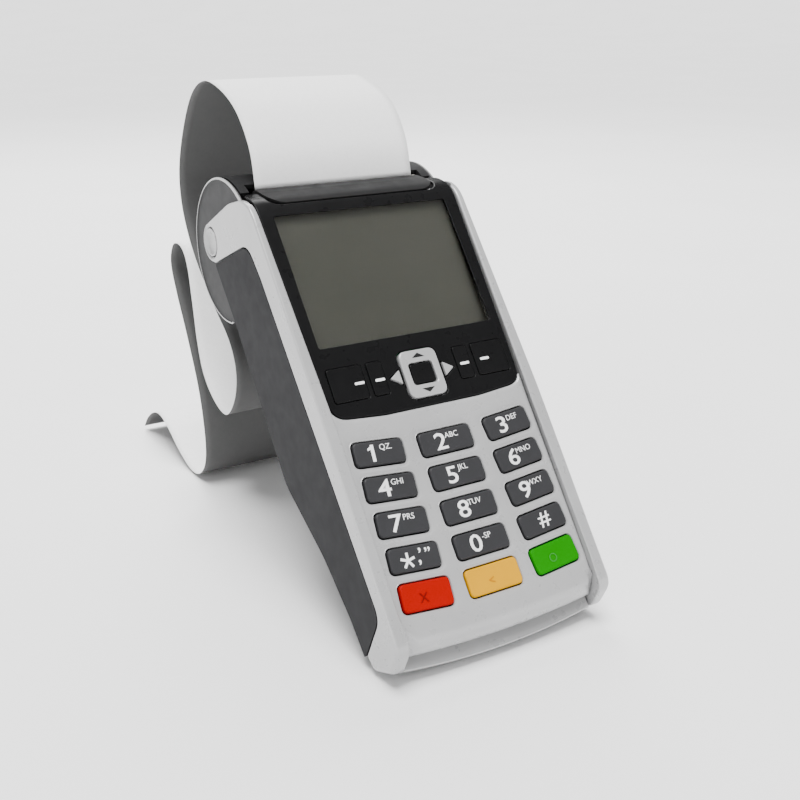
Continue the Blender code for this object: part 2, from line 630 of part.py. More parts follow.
def make_paper_cover(b, mat):
    """The drum-shaped lid: a curved wall from the paper mouth round to the hinge, with a cheek at each end."""
    foot = -146.0
    wall = drum_arc(DRUM_R, MOUTH_DEG, foot, 28) + drum_arc(DRUM_R - DRUM_WALL, foot, MOUTH_DEG, 28)
    shell = prism(wall, -DRUM_HALF, DRUM_HALF, "u")
    cover = b.node("paper_cover", shell, mat["cover"], at=(0, HINGE_V, HINGE_W), smooth=True)
    cheeks = bmesh.new()
    cheek = drum_arc(DRUM_R - 0.05, 80.0, -150.0, 32) + [Vector((62.2, -38.0)), Vector((78.0, -14.0))]
    for side in (-1, 1):
        low, high = sorted((side * (DRUM_HALF - DRUM_WALL), side * (DRUM_HALF - 0.02)))
        add_prism(cheeks, cheek, low, high, "u")
    bmesh.ops.recalc_face_normals(cheeks, faces=cheeks.faces)
    b.combine(cover, "UNION", "cheeks", cheeks)
    shoulders = bmesh.new()
    overlap = MOUTH_DEG - 4.0
    shoulder = drum_arc(DRUM_R - 0.15, SHOULDER_DEG, overlap, 4)
    shoulder += drum_arc(DRUM_R - DRUM_WALL + 0.15, overlap, SHOULDER_DEG, 4)
    for side in (-1, 1):
        low, high = sorted((side * SHOULDER_FROM, side * (DRUM_HALF - 0.4)))
        add_prism(shoulders, shoulder, low, high, "u")
    bmesh.ops.recalc_face_normals(shoulders, faces=shoulders.faces)
    b.combine(cover, "UNION", "shoulders", shoulders)
    fittings = bmesh.new()
    for side in (-1, 1):
        low, high = sorted((side * 32.2, side * (DRUM_HALF - DRUM_WALL + 0.4)))
        add_prism(fittings, circle_outline(PLATEN_V, PLATEN_W, 2.6, 16), low, high, "u")
        low, high = sorted((side * (PAPER_WIDTH / 2 + 0.4), side * (DRUM_HALF - DRUM_WALL + 0.4)))
        add_prism(fittings, circle_outline(ROLL_V, ROLL_W, CORE_R - 1.6, 16), low, high, "u")
        low, high = sorted((side * 12.0, side * 23.6))
        knuckle = fillet([(HINGE_V - 2.3, HINGE_W - 2.3, 2.2), (64.6, HINGE_W - 4.7, 0),
                          (65.6, HINGE_W - 2.8, 0), (HINGE_V + 0.5, HINGE_W + 2.4, 2.0),
                          (HINGE_V - 2.3, HINGE_W + 2.3, 2.2)])  # fmt: skip
        add_prism(fittings, knuckle, low, high, "u")
    bmesh.ops.recalc_face_normals(fittings, faces=fittings.faces)
    b.combine(cover, "UNION", "fittings", fittings)
    bores = bmesh.new()
    add_prism(bores, circle_outline(HINGE_V, HINGE_W, 1.5, 16), -30, 30, "u")
    add_prism(bores, circle_outline(PLATEN_V, PLATEN_W, 1.5, 16), -34.9, 34.9, "u")
    for side in (-1, 1):
        low, high = sorted((side * (DRUM_HALF - 4), side * (DRUM_HALF + 1)))
        add_prism(bores, circle_outline(RELEASE_V, RELEASE_W, RELEASE_R + 0.8, 20), low, high, "u")
    bmesh.ops.recalc_face_normals(bores, faces=bores.faces)
    b.cut(cover, "bores", bores)
    b.node("cover_hinge_pin", rod(HINGE_V, HINGE_W, 1.2, -30, 30, 16), mat["steel"], at=(0, HINGE_V, HINGE_W),
           smooth=True)


def make_release_buttons(b, mat):
    for side, name in ((-1, "release_button_left"), (1, "release_button_right")):
        low, high = sorted((side * (INNER_HALF + 0.1), side * (HALF_WIDTH - 0.3)))
        button = rod(RELEASE_V, RELEASE_W, RELEASE_R, low, high, 24)
        outside = side * (HALF_WIDTH - 0.3)
        bevel_edges(button, 0.4, lambda p, face=outside: abs(p.x - face) < 0.01, 1)
        b.node(name, button, mat["silver"], at=(outside, RELEASE_V, RELEASE_W), smooth=True)


def make_paper(b, mat):
    half = PAPER_WIDTH / 2
    roll = b.node("paper_roll", rod(ROLL_V, ROLL_W, ROLL_R, -half, half, 40), mat["paper"],
                  at=(0, ROLL_V, ROLL_W), smooth=True)
    b.cut(roll, "bore", rod(ROLL_V, ROLL_W, CORE_R + CLEAR, -half - 1, half + 1, 24))
    core = b.node("roll_core", rod(ROLL_V, ROLL_W, CORE_R, -half, half, 24), mat["card"],
                  at=(0, ROLL_V, ROLL_W), smooth=True)
    b.cut(core, "bore", rod(ROLL_V, ROLL_W, CORE_R - 1.0, -half - 1, half + 1, 24))


def smooth_route(points, steps):
    """A smooth curve through all the points, read at even shares of each stretch between two of them."""
    ends = [points[0] * 2 - points[1]] + points + [points[-1] * 2 - points[-2]]
    curve = []
    for a, p, q, z in zip(ends, ends[1:], ends[2:], ends[3:]):
        for k in range(steps):
            t = k / steps
            curve.append(0.5 * (2 * p + (q - a) * t + (2 * a - 5 * p + 4 * q - z) * t**2
                                + (3 * p - a - 3 * q + z) * t**3))
    return curve + [points[-1]]


def make_receipt(b, mat):
    """The printed strip: an open ribbon along its route, thickened evenly to both sides."""
    half = PAPER_WIDTH / 2
    ribbon = bmesh.new()
    route = smooth_route([Vector(p) for p in RECEIPT_ROUTE], 3)
    line = [ribbon.verts.new((-half, back, up)) for back, up in route]
    edges = [ribbon.edges.new(pair) for pair in zip(line, line[1:])]
    swept = bmesh.ops.extrude_edge_only(ribbon, edges=edges)["geom"]
    bmesh.ops.translate(ribbon, verts=[g for g in swept if isinstance(g, bmesh.types.BMVert)],
                        vec=(PAPER_WIDTH, 0, 0))
    bmesh.ops.recalc_face_normals(ribbon, faces=ribbon.faces)
    receipt = b.node("receipt", ribbon, mat["paper"], parent=b.stand, smooth=True)
    thicken = receipt.modifiers.new("thickness", "SOLIDIFY")
    thicken.thickness = RECEIPT_THICK * MM
    thicken.offset = 0.0


def gear_outline(v, w, teeth, first_tooth_deg):
    """A spur gear's outline, its first tooth at the given angle. The teeth are slim, so that they run free."""
    root, pitch = GEAR_MODULE * (teeth / 2 - 1.2), GEAR_MODULE * teeth / 2
    tip = GEAR_MODULE * (teeth / 2 + 0.8)
    step = 2 * math.pi / teeth
    profile = ((-0.30, root), (-0.20, pitch), (-0.10, tip), (0.10, tip), (0.20, pitch), (0.30, root))
    outline = []
    for k in range(teeth):
        centre = math.radians(first_tooth_deg) + k * step
        for share, radius in profile:
            angle = centre + share * step
            outline.append(Vector((v + radius * math.cos(angle), w + radius * math.sin(angle))))
    return outline


def gear_train():
    """The gears from the motor to the platen: name, centre v, teeth, and the angle of the first tooth.

    Their centres lie on one line, so each gear's tooth on that line faces a gap of its neighbour.
    """
    train = []
    v, angle = PLATEN_V, 0.0
    names = [("platen_gear", PLATEN_TEETH), ("idler_gear_2", IDLER_TEETH), ("idler_gear_1", IDLER_TEETH),
             ("motor_pinion", PINION_TEETH)]
    for i, (name, teeth) in enumerate(names):
        train.append((name, v, teeth, angle))
        if i + 1 < len(names):
            next_teeth = names[i + 1][1]
            v -= GEAR_MODULE * (teeth + next_teeth) / 2
            step, next_step = 360 / teeth, 360 / next_teeth
            off_line = ((angle - 180) / step) % 1.0
            angle = (0.5 - off_line) * next_step
    return train


def make_printer(b, mat):
    for name, v, teeth, angle in gear_train():
        gear = prism(gear_outline(v, PLATEN_W, teeth, angle), GEAR_U, GEAR_U + GEAR_THICK, "u")
        gear = b.node(name, gear, mat["nylon"], at=(0, v, PLATEN_W))
        if name != "motor_pinion":
            b.cut(gear, "bore", rod(v, PLATEN_W, 1.3, GEAR_U - 1, GEAR_U + GEAR_THICK + 1, 16))
    centres = {name: v for name, v, _, _ in gear_train()}
    platen = b.node("platen_roller", rod(PLATEN_V, PLATEN_W, PLATEN_R, -29.0, 29.0, 24), mat["rubber"],
                    at=(0, PLATEN_V, PLATEN_W), smooth=True)
    b.combine(platen, "UNION", "shaft", rod(PLATEN_V, PLATEN_W, 1.0, -34.4, 34.4, 16))
    bracket = b.node("gear_bracket", prism(box_outline(61.5, 87.6, -20.6, -9.6, 2.0), 32.4, 33.6, "u"),
                     mat["steel"])
    studs = bmesh.new()
    for name in ("idler_gear_1", "idler_gear_2"):
        add_prism(studs, circle_outline(centres[name], PLATEN_W, 1.0, 16), GEAR_U - 0.6, 33.0, "u")
    bmesh.ops.recalc_face_normals(studs, faces=studs.faces)
    b.combine(bracket, "UNION", "studs", studs)
    motor_v = centres["motor_pinion"]
    motor = b.node("printer_motor", rod(motor_v, PLATEN_W, 6.2, 10.0, 28.0, 24), mat["steel"],
                   at=(0, motor_v, PLATEN_W), smooth=True)
    b.combine(motor, "UNION", "shaft", rod(motor_v, PLATEN_W, 0.8, 20.0, GEAR_U - CLEAR, 12))
    b.node("print_head", block((-28.0, 28.0), (86.2, 87.8), (-18.4, -10.6)), mat["steel"])
    tear_side = fillet([
        (83.8, -2.2, 0), (86.6, -3.2, 4.0), (90.0, -6.0, 4.0), (93.3, -10.9, 0), (91.6, -11.3, 0),
        (88.6, -7.3, 3.0), (86.0, -5.1, 2.0), (83.8, -4.3, 0),
    ])  # fmt: skip
    b.node("tear_bar", prism(tear_side, -TEAR_HALF, TEAR_HALF, "u"), mat["cover"], smooth=True)


# ---- boards, battery and readers -----------------------------------------------------------------------------


def make_electronics(b, mat):
    b.node("main_board", block((-28.0, 28.0), (-4.0, 56.0), (-13.8, -12.4), 1.0), mat["board"])
    b.node("battery_pack", block((-26.5, 26.5), (7.0, 49.0), (-35.0, -20.0), 2.0), mat["battery"])
    door = block((-DOOR_HALF, DOOR_HALF), (DOOR_LOW, DOOR_HIGH), (BELLY, BELLY + 1.5), 1.2)
    door = b.node("battery_door", door, mat["dark"], at=(0, DOOR_LOW, BELLY))
    b.cut(door, "thumb_notch", block((-7.0, 7.0), (DOOR_HIGH - 4.0, DOOR_HIGH + 2), (-45, BELLY + 0.8), 1.5))


def make_card_readers(b, mat):
    reader = b.node("chip_card_reader", block((-READER_HALF, READER_HALF), (-53.6, -6.0), (-11.0, -5.9)), mat["black"])
    b.cut(reader, "card_path", block((-27.4, 27.4), (-60.0, -9.0), (SLOT_FLOOR - 0.1, 0)))
    b.cut(reader, "contact_window", block((-8.0, 8.0), (CONTACTS_V - 6.0, CONTACTS_V + 6.0), (-20, 0)))
    contacts = block((-7.6, 7.6), (CONTACTS_V - 5.6, CONTACTS_V + 5.6), (CONTACTS_UNDER, CONTACTS_TOP))
    contacts = b.node("chip_contacts", contacts, mat["gold"], at=(0, CONTACTS_V, CONTACTS_TOP))
    b.cut(contacts, "gaps", contact_gaps())
    wall_low, wall_high = HALF_WIDTH + SWIPE_SLOT, HALF_WIDTH + SWIPE_SLOT + SWIPE_WALL
    side = fillet([(-43.0, -10.0, 4.0), (-36.0, -3.2, 6.0), (20.0, -4.2, 0), (66.0, -5.4, 5.0), (72.0, -12.0, 4.0),
                   (72.0, -17.4, 1.0), (-43.0, -17.4, 3.0)])  # fmt: skip
    wall = prism(side, wall_low, wall_high, "u")
    swipe = b.node("swipe_reader_wall", wall, mat["dark"], smooth=True)
    foot = prism(box_outline(-38.0, 71.0, -17.3, -15.0), HALF_WIDTH + CLEAR, wall_low + 0.6, "u")
    b.combine(swipe, "UNION", "foot", foot)
    b.node("mag_head", block((31.0, HALF_WIDTH + 0.2), (MAG_V - 5.4, MAG_V + 5.4), (-12.6, -9.2), 1.0),
           mat["steel"], at=(HALF_WIDTH, MAG_V, -10.9))


def contact_gaps():
    """Grooves that split the contact block's top into two rows of four pads."""
    gaps = bmesh.new()
    for u in (-3.8, 0.0, 3.8):
        for side in (-1, 1):
            low, high = sorted((CONTACTS_V + side * 0.4, CONTACTS_V + side * 8.0))
            add_prism(gaps, box_outline(u - 0.4, u + 0.4, low, high), CONTACTS_TOP - 1.0, 0, "w")
    bmesh.ops.recalc_face_normals(gaps, faces=gaps.faces)
    return gaps


# ---- assembly ------------------------------------------------------------------------------------------------


def stand_on_floor(b):
    """Moves the whole object so that its lowest point is on the floor and its box is centred on the origin."""
    bpy.context.view_layer.update()
    graph = bpy.context.evaluated_depsgraph_get()
    corners = []
    for part in b.parts.objects:
        if part.type == "MESH":
            done = part.evaluated_get(graph)
            corners += [done.matrix_world @ v.co for v in done.data.vertices]
    low = Vector([min(c[i] for c in corners) for i in range(3)])
    high = Vector([max(c[i] for c in corners) for i in range(3)])
    b.stand.location = (-(low.x + high.x) / 2, -(low.y + high.y) / 2, -low.z)
    bpy.context.view_layer.update()


def main():
    clear_scene()
    b = Builder()
    mat = make_materials()
    make_upper_casing(b, mat)
    make_lower_casing(b, mat)
    make_card_lip(b, mat)
    make_screws(b, mat)
    make_bezel(b, mat)
    make_display(b, mat)
    make_keys(b, mat)
    make_soft_keys(b, mat)
    make_navigation(b, mat)
    make_paper_cover(b, mat)
    make_release_buttons(b, mat)
    make_paper(b, mat)
    make_receipt(b, mat)
    make_printer(b, mat)
    make_electronics(b, mat)
    make_card_readers(b, mat)
    stand_on_floor(b)


main()
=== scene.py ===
"""Card payment terminal, leaning back with its receipt behind it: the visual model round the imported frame.

Shapes are drawn in millimetres in the terminal's own frame, as in the CAD: u across it to the right, v up
its length, w out of its face, from the middle of the top row of number keys. The receipt and the camera use
the upright frame with the same origin: across, back and up.
"""

import math

import bmesh
import bpy
from mathutils import Matrix, Vector
from mathutils.geometry import delaunay_2d_cdt


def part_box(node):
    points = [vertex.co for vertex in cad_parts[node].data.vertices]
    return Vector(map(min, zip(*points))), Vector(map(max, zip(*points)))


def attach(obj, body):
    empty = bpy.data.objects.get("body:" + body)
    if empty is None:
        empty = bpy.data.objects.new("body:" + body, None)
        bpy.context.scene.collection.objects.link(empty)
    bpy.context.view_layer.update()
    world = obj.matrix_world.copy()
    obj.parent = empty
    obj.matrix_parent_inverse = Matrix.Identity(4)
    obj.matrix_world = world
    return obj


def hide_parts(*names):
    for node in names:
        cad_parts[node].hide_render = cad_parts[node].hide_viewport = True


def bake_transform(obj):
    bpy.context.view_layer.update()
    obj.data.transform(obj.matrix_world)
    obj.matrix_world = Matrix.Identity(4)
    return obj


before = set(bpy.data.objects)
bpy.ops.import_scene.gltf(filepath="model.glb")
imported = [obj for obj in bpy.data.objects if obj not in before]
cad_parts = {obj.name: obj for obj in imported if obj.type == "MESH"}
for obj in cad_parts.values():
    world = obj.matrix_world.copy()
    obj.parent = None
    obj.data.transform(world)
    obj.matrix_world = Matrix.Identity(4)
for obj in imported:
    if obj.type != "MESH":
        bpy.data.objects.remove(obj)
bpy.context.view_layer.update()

MM = 0.001
CLEAR = 0.3
LEAN = Matrix.Rotation(math.radians(52.8), 4, "X")
LCD_CENTRE = Vector((0.0, 56.6, -6.75))


def upright_frame():
    """The upright frame's place, from the display module, whose centre in the terminal's frame is known."""
    low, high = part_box("lcd_module")
    return Matrix.Translation((low + high) / 2 - (LEAN @ LCD_CENTRE) * MM) @ Matrix.Scale(MM, 4)


UPRIGHT = upright_frame()
TERMINAL = UPRIGHT @ LEAN


# ---- outlines ----


def fillet(corners, steps=8):
    """The outline through (x, y, radius) corners, each rounded to its radius."""
    outline = []
    for i, (x, y, radius) in enumerate(corners):
        corner = Vector((x, y))
        before = Vector(corners[i - 1][:2]) - corner
        after = Vector(corners[(i + 1) % len(corners)][:2]) - corner
        half_angle = before.angle(after) / 2
        if radius <= 0 or half_angle > math.radians(89.5):
            outline.append(corner)
            continue
        reach = min(radius / math.tan(half_angle), before.length * 0.49, after.length * 0.49)
        start = corner + before.normalized() * reach
        end = corner + after.normalized() * reach
        for k in range(steps + 1):
            t = k / steps
            outline.append(start * (1 - t) ** 2 + corner * 2 * t * (1 - t) + end * t**2)
    return outline


def box_outline(x_low, x_high, y_low, y_high, radius=0.0, steps=6):
    corners = [(x_low, y_low), (x_high, y_low), (x_high, y_high), (x_low, y_high)]
    return fillet([(x, y, radius) for x, y in corners], steps)


def circle_outline(x, y, radius, sides=48):
    turns = [2 * math.pi * k / sides for k in range(sides)]
    return [Vector((x + radius * math.cos(a), y + radius * math.sin(a))) for a in turns]


def area(outline):
    return sum(a.x * b.y - b.x * a.y for a, b in zip(outline, outline[1:] + outline[:1])) / 2


def divided(outline, longest):
    """The outline with points added so that no side is longer than that."""
    done = []
    for a, b in zip(outline, outline[1:] + outline[:1]):
        count = max(1, math.ceil((b - a).length / longest))
        done += [a.lerp(b, k / count) for k in range(count)]
    return done


def inset(outline, amount):
    """The outline moved inwards by an amount, one for all its points or a list with one for each."""
    turn = 1 if area(outline) > 0 else -1
    amounts = amount if isinstance(amount, list) else [amount] * len(outline)
    moved = []
    for i, point in enumerate(outline):
        into = (point - outline[i - 1]).normalized()
        out = (outline[(i + 1) % len(outline)] - point).normalized()
        normal = Vector((-into.y - out.y, into.x + out.x)).normalized() * turn
        across = Vector((-into.y, into.x)) * turn
        moved.append(point + normal * amounts[i] / max(0.5, normal.dot(across)))
    return moved


def quarter_turn(steps):
    """Angles from nothing to a right angle."""
    return [k / steps * math.pi / 2 for k in range(steps + 1)]


def quarter_round(t):
    """How far a quarter circle has risen, from 0 at 0 to 1 at 1."""
    return math.sqrt(max(0.0, 1 - (1 - min(1.0, t)) ** 2))


def smooth_step(t):
    t = min(1.0, max(0.0, t))
    return t * t * (3 - 2 * t)


def in_scene(name, data):
    """A new object in the scene."""
    made = bpy.data.objects.new(name, data)
    bpy.context.scene.collection.objects.link(made)
    return made


# ---- meshes ----


def loft(rings, caps=True):
    """A skin through rings that all have the same count of points; caps closes both of its ends."""
    bm = bmesh.new()
    rows = [[bm.verts.new(p) for p in ring] for ring in rings]
    for a, b in zip(rows, rows[1:]):
        for i in range(len(a)):
            j = (i + 1) % len(a)
            bm.faces.new((a[i], a[j], b[j], b[i]))
    if caps:
        bm.faces.new(rows[0])
        bm.faces.new(rows[-1])
    bmesh.ops.recalc_face_normals(bm, faces=bm.faces)
    return bm


def along_u(outline, u):
    return [Vector((u, p.x, p.y)) for p in outline]


def along_w(outline, w):
    return [Vector((p.x, p.y, w)) for p in outline]


def rounded_slab(outline, low, high, low_round, high_round, along, steps=4):
    """A slab between two heights along u or w, its rims rounded."""
    rings = []
    for height, radius, way in ((low, low_round, 1), (high, high_round, -1)):
        stack = []
        for a in quarter_turn(steps):
            rim = inset(outline, radius * (1 - math.sin(a)))
            stack.append(along(rim, height + way * radius * (1 - math.cos(a))))
        rings += stack if way > 0 else stack[::-1]
    return loft(rings)


def add_mesh(bm, other, slot=0):
    """Adds a second mesh to the first, its faces using that material slot."""
    mesh = bpy.data.meshes.new("joined")
    for face in other.faces:
        face.material_index = slot
    other.to_mesh(mesh)
    other.free()
    bm.from_mesh(mesh)
    bpy.data.meshes.remove(mesh)
    return bm


def turned(profile, centre, sides=48):
    """A solid of revolution along u: profile is (u, radius) points, centre its (v, w)."""
    rings = []
    for u, radius in profile:
        rings.append(along_u(circle_outline(*centre, max(radius, 0.02), sides), u))
    return loft(rings)


def inside(point, outline):
    crossed = False
    for a, b in zip(outline, outline[1:] + outline[:1]):
        if (a.y > point.y) != (b.y > point.y):
            if point.x < a.x + (point.y - a.y) * (b.x - a.x) / (b.y - a.y):
                crossed = not crossed
    return crossed


def edge_distance(point, outline):
    best = 1e9
    for a, b in zip(outline, outline[1:] + outline[:1]):
        side = b - a
        t = min(1.0, max(0.0, (point - a).dot(side) / max(side.length_squared, 1e-12)))
        best = min(best, (a + side * t - point).length)
    return best


def sheet_mesh(outer, holes, rings, spacing, place, facing=(0.0, 0.0, 1.0)):
    """A sheet with holes, its mesh following every edge in rings.

    place turns (point, distance to the nearest hole, distance to the outside) into a place; facing is
    the side that the sheet's faces look to.
    """
    loops = [inset(outer, r) for r in rings]
    for hole in holes:
        loops += [inset(hole, -r) for r in rings]
    points, edges = [], []
    for loop in loops:
        first = len(points)
        points += loop
        edges += [(first + i, first + (i + 1) % len(loop)) for i in range(len(loop))]
    xs, ys = [p.x for p in outer], [p.y for p in outer]
    far = rings[-1] + spacing * 0.5
    x = min(xs) + spacing / 2
    while x < max(xs):
        y = min(ys) + spacing / 2
        while y < max(ys):
            spot = Vector((x, y))
            if inside(spot, outer) and edge_distance(spot, outer) > far:
                if all(not inside(spot, h) and edge_distance(spot, h) > far for h in holes):
                    points.append(spot)
            y += spacing
        x += spacing
    verts, _, faces, *_ = delaunay_2d_cdt(points, edges, [], 0, 1e-5)
    bm = bmesh.new()
    placed = []
    for p in verts:
        nearest = min([edge_distance(p, h) for h in holes], default=99.0)
        placed.append(bm.verts.new(place(p, nearest, edge_distance(p, outer))))
    for face in faces:
        middle = sum((verts[i] for i in face), Vector((0, 0))) / len(face)
        if inside(middle, outer) and not any(inside(middle, h) for h in holes):
            bm.faces.new([placed[i] for i in face])
    loose = [v for v in bm.verts if not v.link_faces]
    bmesh.ops.delete(bm, geom=loose, context="VERTS")
    bmesh.ops.recalc_face_normals(bm, faces=bm.faces)
    if sum(f.normal.dot(facing) * f.calc_area() for f in bm.faces) < 0:
        bmesh.ops.reverse_faces(bm, faces=bm.faces)
    return bm


def lettering(text, size, at, turn=0.0, weight=0.0, depth=0.1, wide=1.0):
    """Flat lettering as a mesh, its middle at a place in the terminal's frame, its face along w."""
    curve = bpy.data.curves.new("lettering", "FONT")
    curve.body = text
    curve.size = size
    curve.align_x = "CENTER"
    curve.align_y = "CENTER"
    curve.offset = weight
    curve.extrude = depth / 2
    curve.resolution_u = 3
    holder = in_scene("lettering", curve)
    bpy.context.view_layer.update()
    graph = bpy.context.evaluated_depsgraph_get()
    mesh = bpy.data.meshes.new_from_object(holder.evaluated_get(graph))
    bm = bmesh.new()
    bm.from_mesh(mesh)
    bpy.data.objects.remove(holder)
    bpy.data.curves.remove(curve)
    bpy.data.meshes.remove(mesh)
    low = Vector([min(v.co[i] for v in bm.verts) for i in range(3)])
    high = Vector([max(v.co[i] for v in bm.verts) for i in range(3)])
    bmesh.ops.translate(bm, verts=bm.verts, vec=-(low + high) / 2)
    bmesh.ops.scale(bm, verts=bm.verts, vec=(wide, 1.0, 1.0))
    bmesh.ops.rotate(bm, verts=bm.verts, cent=(0, 0, 0), matrix=Matrix.Rotation(turn, 3, "Z"))
    bmesh.ops.translate(bm, verts=bm.verts, vec=at)
    return bm


# ---- materials ----


# nearly all of a noise texture's values lie between these two
NOISE_LOW = 0.3
NOISE_HIGH = 0.7


class Look:
    """A procedural material: colour, roughness and bump vary over the surface."""

    def __init__(self, name, roughness, **shader):
        self.material = bpy.data.materials.new(name)
        self.material.use_nodes = True
        self.tree = self.material.node_tree
        self.shader = self.tree.nodes["Principled BSDF"]
        self.set(Roughness=roughness, **shader)
        self.place = self.node("ShaderNodeTexCoord").outputs["Object"]

    def set(self, **inputs):
        for name, value in inputs.items():
            self.shader.inputs[name.replace("_", " ")].default_value = value

    def node(self, kind, inputs=None, **settings):
        made = self.tree.nodes.new(kind)
        for name, value in settings.items():
            setattr(made, name, value)
        for name, value in (inputs or {}).items():
            if isinstance(value, bpy.types.NodeSocket):
                self.tree.links.new(value, made.inputs[name])
            else:
                made.inputs[name].default_value = value
        return made

    def noise(self, scale, detail=3.0, place=None):
        inputs = {"Vector": place or self.place, "Scale": scale, "Detail": detail}
        return self.node("ShaderNodeTexNoise", inputs).outputs["Fac"]

    def spread(self, value, low, high):
        inputs = {"Value": value, "From Min": NOISE_LOW, "From Max": NOISE_HIGH}
        inputs |= {"To Min": low, "To Max": high}
        return self.node("ShaderNodeMapRange", inputs).outputs["Result"]

    def between(self, value, first, second):
        ramp = self.node("ShaderNodeValToRGB", {"Fac": value})
        ends = (first, NOISE_LOW), (second, NOISE_HIGH)
        for element, (colour, spot) in zip(ramp.color_ramp.elements, ends):
            element.color = (*colour, 1.0)
            element.position = spot
        return ramp.outputs["Color"]

    def link(self, value, name):
        self.tree.links.new(value, self.shader.inputs[name])

    def tint(self, value, first, second):
        """The surface's colour goes from the first to the second as the value rises."""
        self.link(self.between(value, first, second), "Base Color")

    def gloss(self, value, low, high):
        """The roughness goes from low to high as the value rises."""
        self.link(self.spread(value, low, high), "Roughness")

    def bump(self, height, strength, distance):
        inputs = {"Height": height, "Strength": strength, "Distance": distance}
        self.link(self.node("ShaderNodeBump", inputs).outputs["Normal"], "Normal")


def shade(colour, factor):
    """The colour made lighter or darker by a factor."""
    return tuple(min(1.0, c * factor) for c in colour)


def moulded(name, colour, roughness, shader, grain=0.18, spread=0.06):
    """Moulded plastic: a fine spark-eroded grain, and slow changes of colour and gloss."""
    look = Look(name, roughness, **shader)
    look.tint(look.noise(45.0), shade(colour, 1 - spread), shade(colour, 1 + spread))
    look.gloss(look.noise(260.0, 4.0), roughness - 0.05, roughness + 0.06)
    look.bump(look.noise(3200.0, 2.0), grain, 0.00004)
    return look.material


def brushed(name, colour, roughness):
    """Metal with fine streaks one way."""
    look = Look(name, roughness, Metallic=1.0)
    stretched = look.node("ShaderNodeMapping", {"Vector": look.place, "Scale": (40.0, 1.0, 1.0)})
    streaks = look.noise(160.0, 4.0, stretched.outputs["Vector"])
    look.tint(streaks, shade(colour, 0.88), shade(colour, 1.1))
    look.gloss(streaks, roughness - 0.08, roughness + 0.1)
    look.bump(streaks, 0.2, 0.00003)
    return look.material


def paper(name, white):
    """Smooth paper with a trace of fibres."""
    look = Look(name, 0.62, Specular_IOR_Level=0.3)
    fibres = look.noise(900.0, 6.0)
    look.tint(fibres, (white * 0.97,) * 3, (white * 1.02, white * 1.02, white * 1.015))
    look.gloss(look.noise(180.0), 0.54, 0.68)
    look.bump(fibres, 0.12, 0.00005)
    return look.material


def roll_ends(name):
    """Wound paper: faint rings round the roll's own axis."""
    look = Look(name, 0.7)
    low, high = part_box("paper_roll")
    centred = look.node("ShaderNodeMapping", {"Vector": look.place, "Location": -(low + high) / 2})
    inputs = {"Vector": centred.outputs["Vector"], "Scale": 900.0, "Distortion": 0.6}
    wave = look.node("ShaderNodeTexWave", inputs, wave_type="RINGS", rings_direction="X")
    rings = wave.outputs["Fac"]
    look.tint(rings, (0.74, 0.73, 0.71), (0.88, 0.88, 0.87))
    look.gloss(look.noise(300.0), 0.6, 0.78)
    look.bump(rings, 0.15, 0.00005)
    return look.material


def display(name):
    """A reflective liquid-crystal panel, switched off: a slow tint and a fine cell grid."""
    look = Look(name, 0.34, Specular_IOR_Level=0.4)
    look.tint(look.noise(14.0, 1.0), (0.066, 0.066, 0.052), (0.076, 0.076, 0.060))
    grid = look.node("ShaderNodeTexChecker", {"Vector": look.place, "Scale": 3500.0}).outputs["Fac"]
    look.gloss(look.noise(60.0), 0.28, 0.4)
    look.bump(grid, 0.02, 0.00002)
    return look.material


def clear_window(name):
    """Clear plastic over the display."""
    look = Look(name, 0.04, Transmission_Weight=1.0, IOR=1.45)
    look.tint(look.noise(30.0), (0.93, 0.935, 0.92), (0.97, 0.97, 0.96))
    look.gloss(look.noise(120.0), 0.03, 0.07)
    look.bump(look.noise(50.0, 1.0), 0.02, 0.00002)
    return look.material


def board(name):
    """A green circuit board with tracks a little lighter than the rest."""
    look = Look(name, 0.42, Coat_Weight=0.3)
    tracks = look.node("ShaderNodeTexBrick", {
        "Vector": look.place,
        "Scale": 260.0,
        "Mortar Size": 0.012,
        "Color1": (0.012, 0.11, 0.045, 1),
        "Color2": (0.016, 0.15, 0.06, 1),
        "Mortar": (0.03, 0.24, 0.1, 1),
    })
    look.link(tracks.outputs["Color"], "Base Color")
    look.gloss(look.noise(400.0), 0.35, 0.5)
    look.bump(tracks.outputs["Fac"], 0.3, 0.00004)
    return look.material


# plastics that reflect little, even at a flat angle
FAINT = {"IOR": 1.2, "Specular_IOR_Level": 0.3}
SATIN = {"IOR": 1.25, "Specular_IOR_Level": 0.15}

SILVER = {"Metallic": 0.2, "Coat_Weight": 0.2}
MATT = {"Specular_IOR_Level": 0.3}
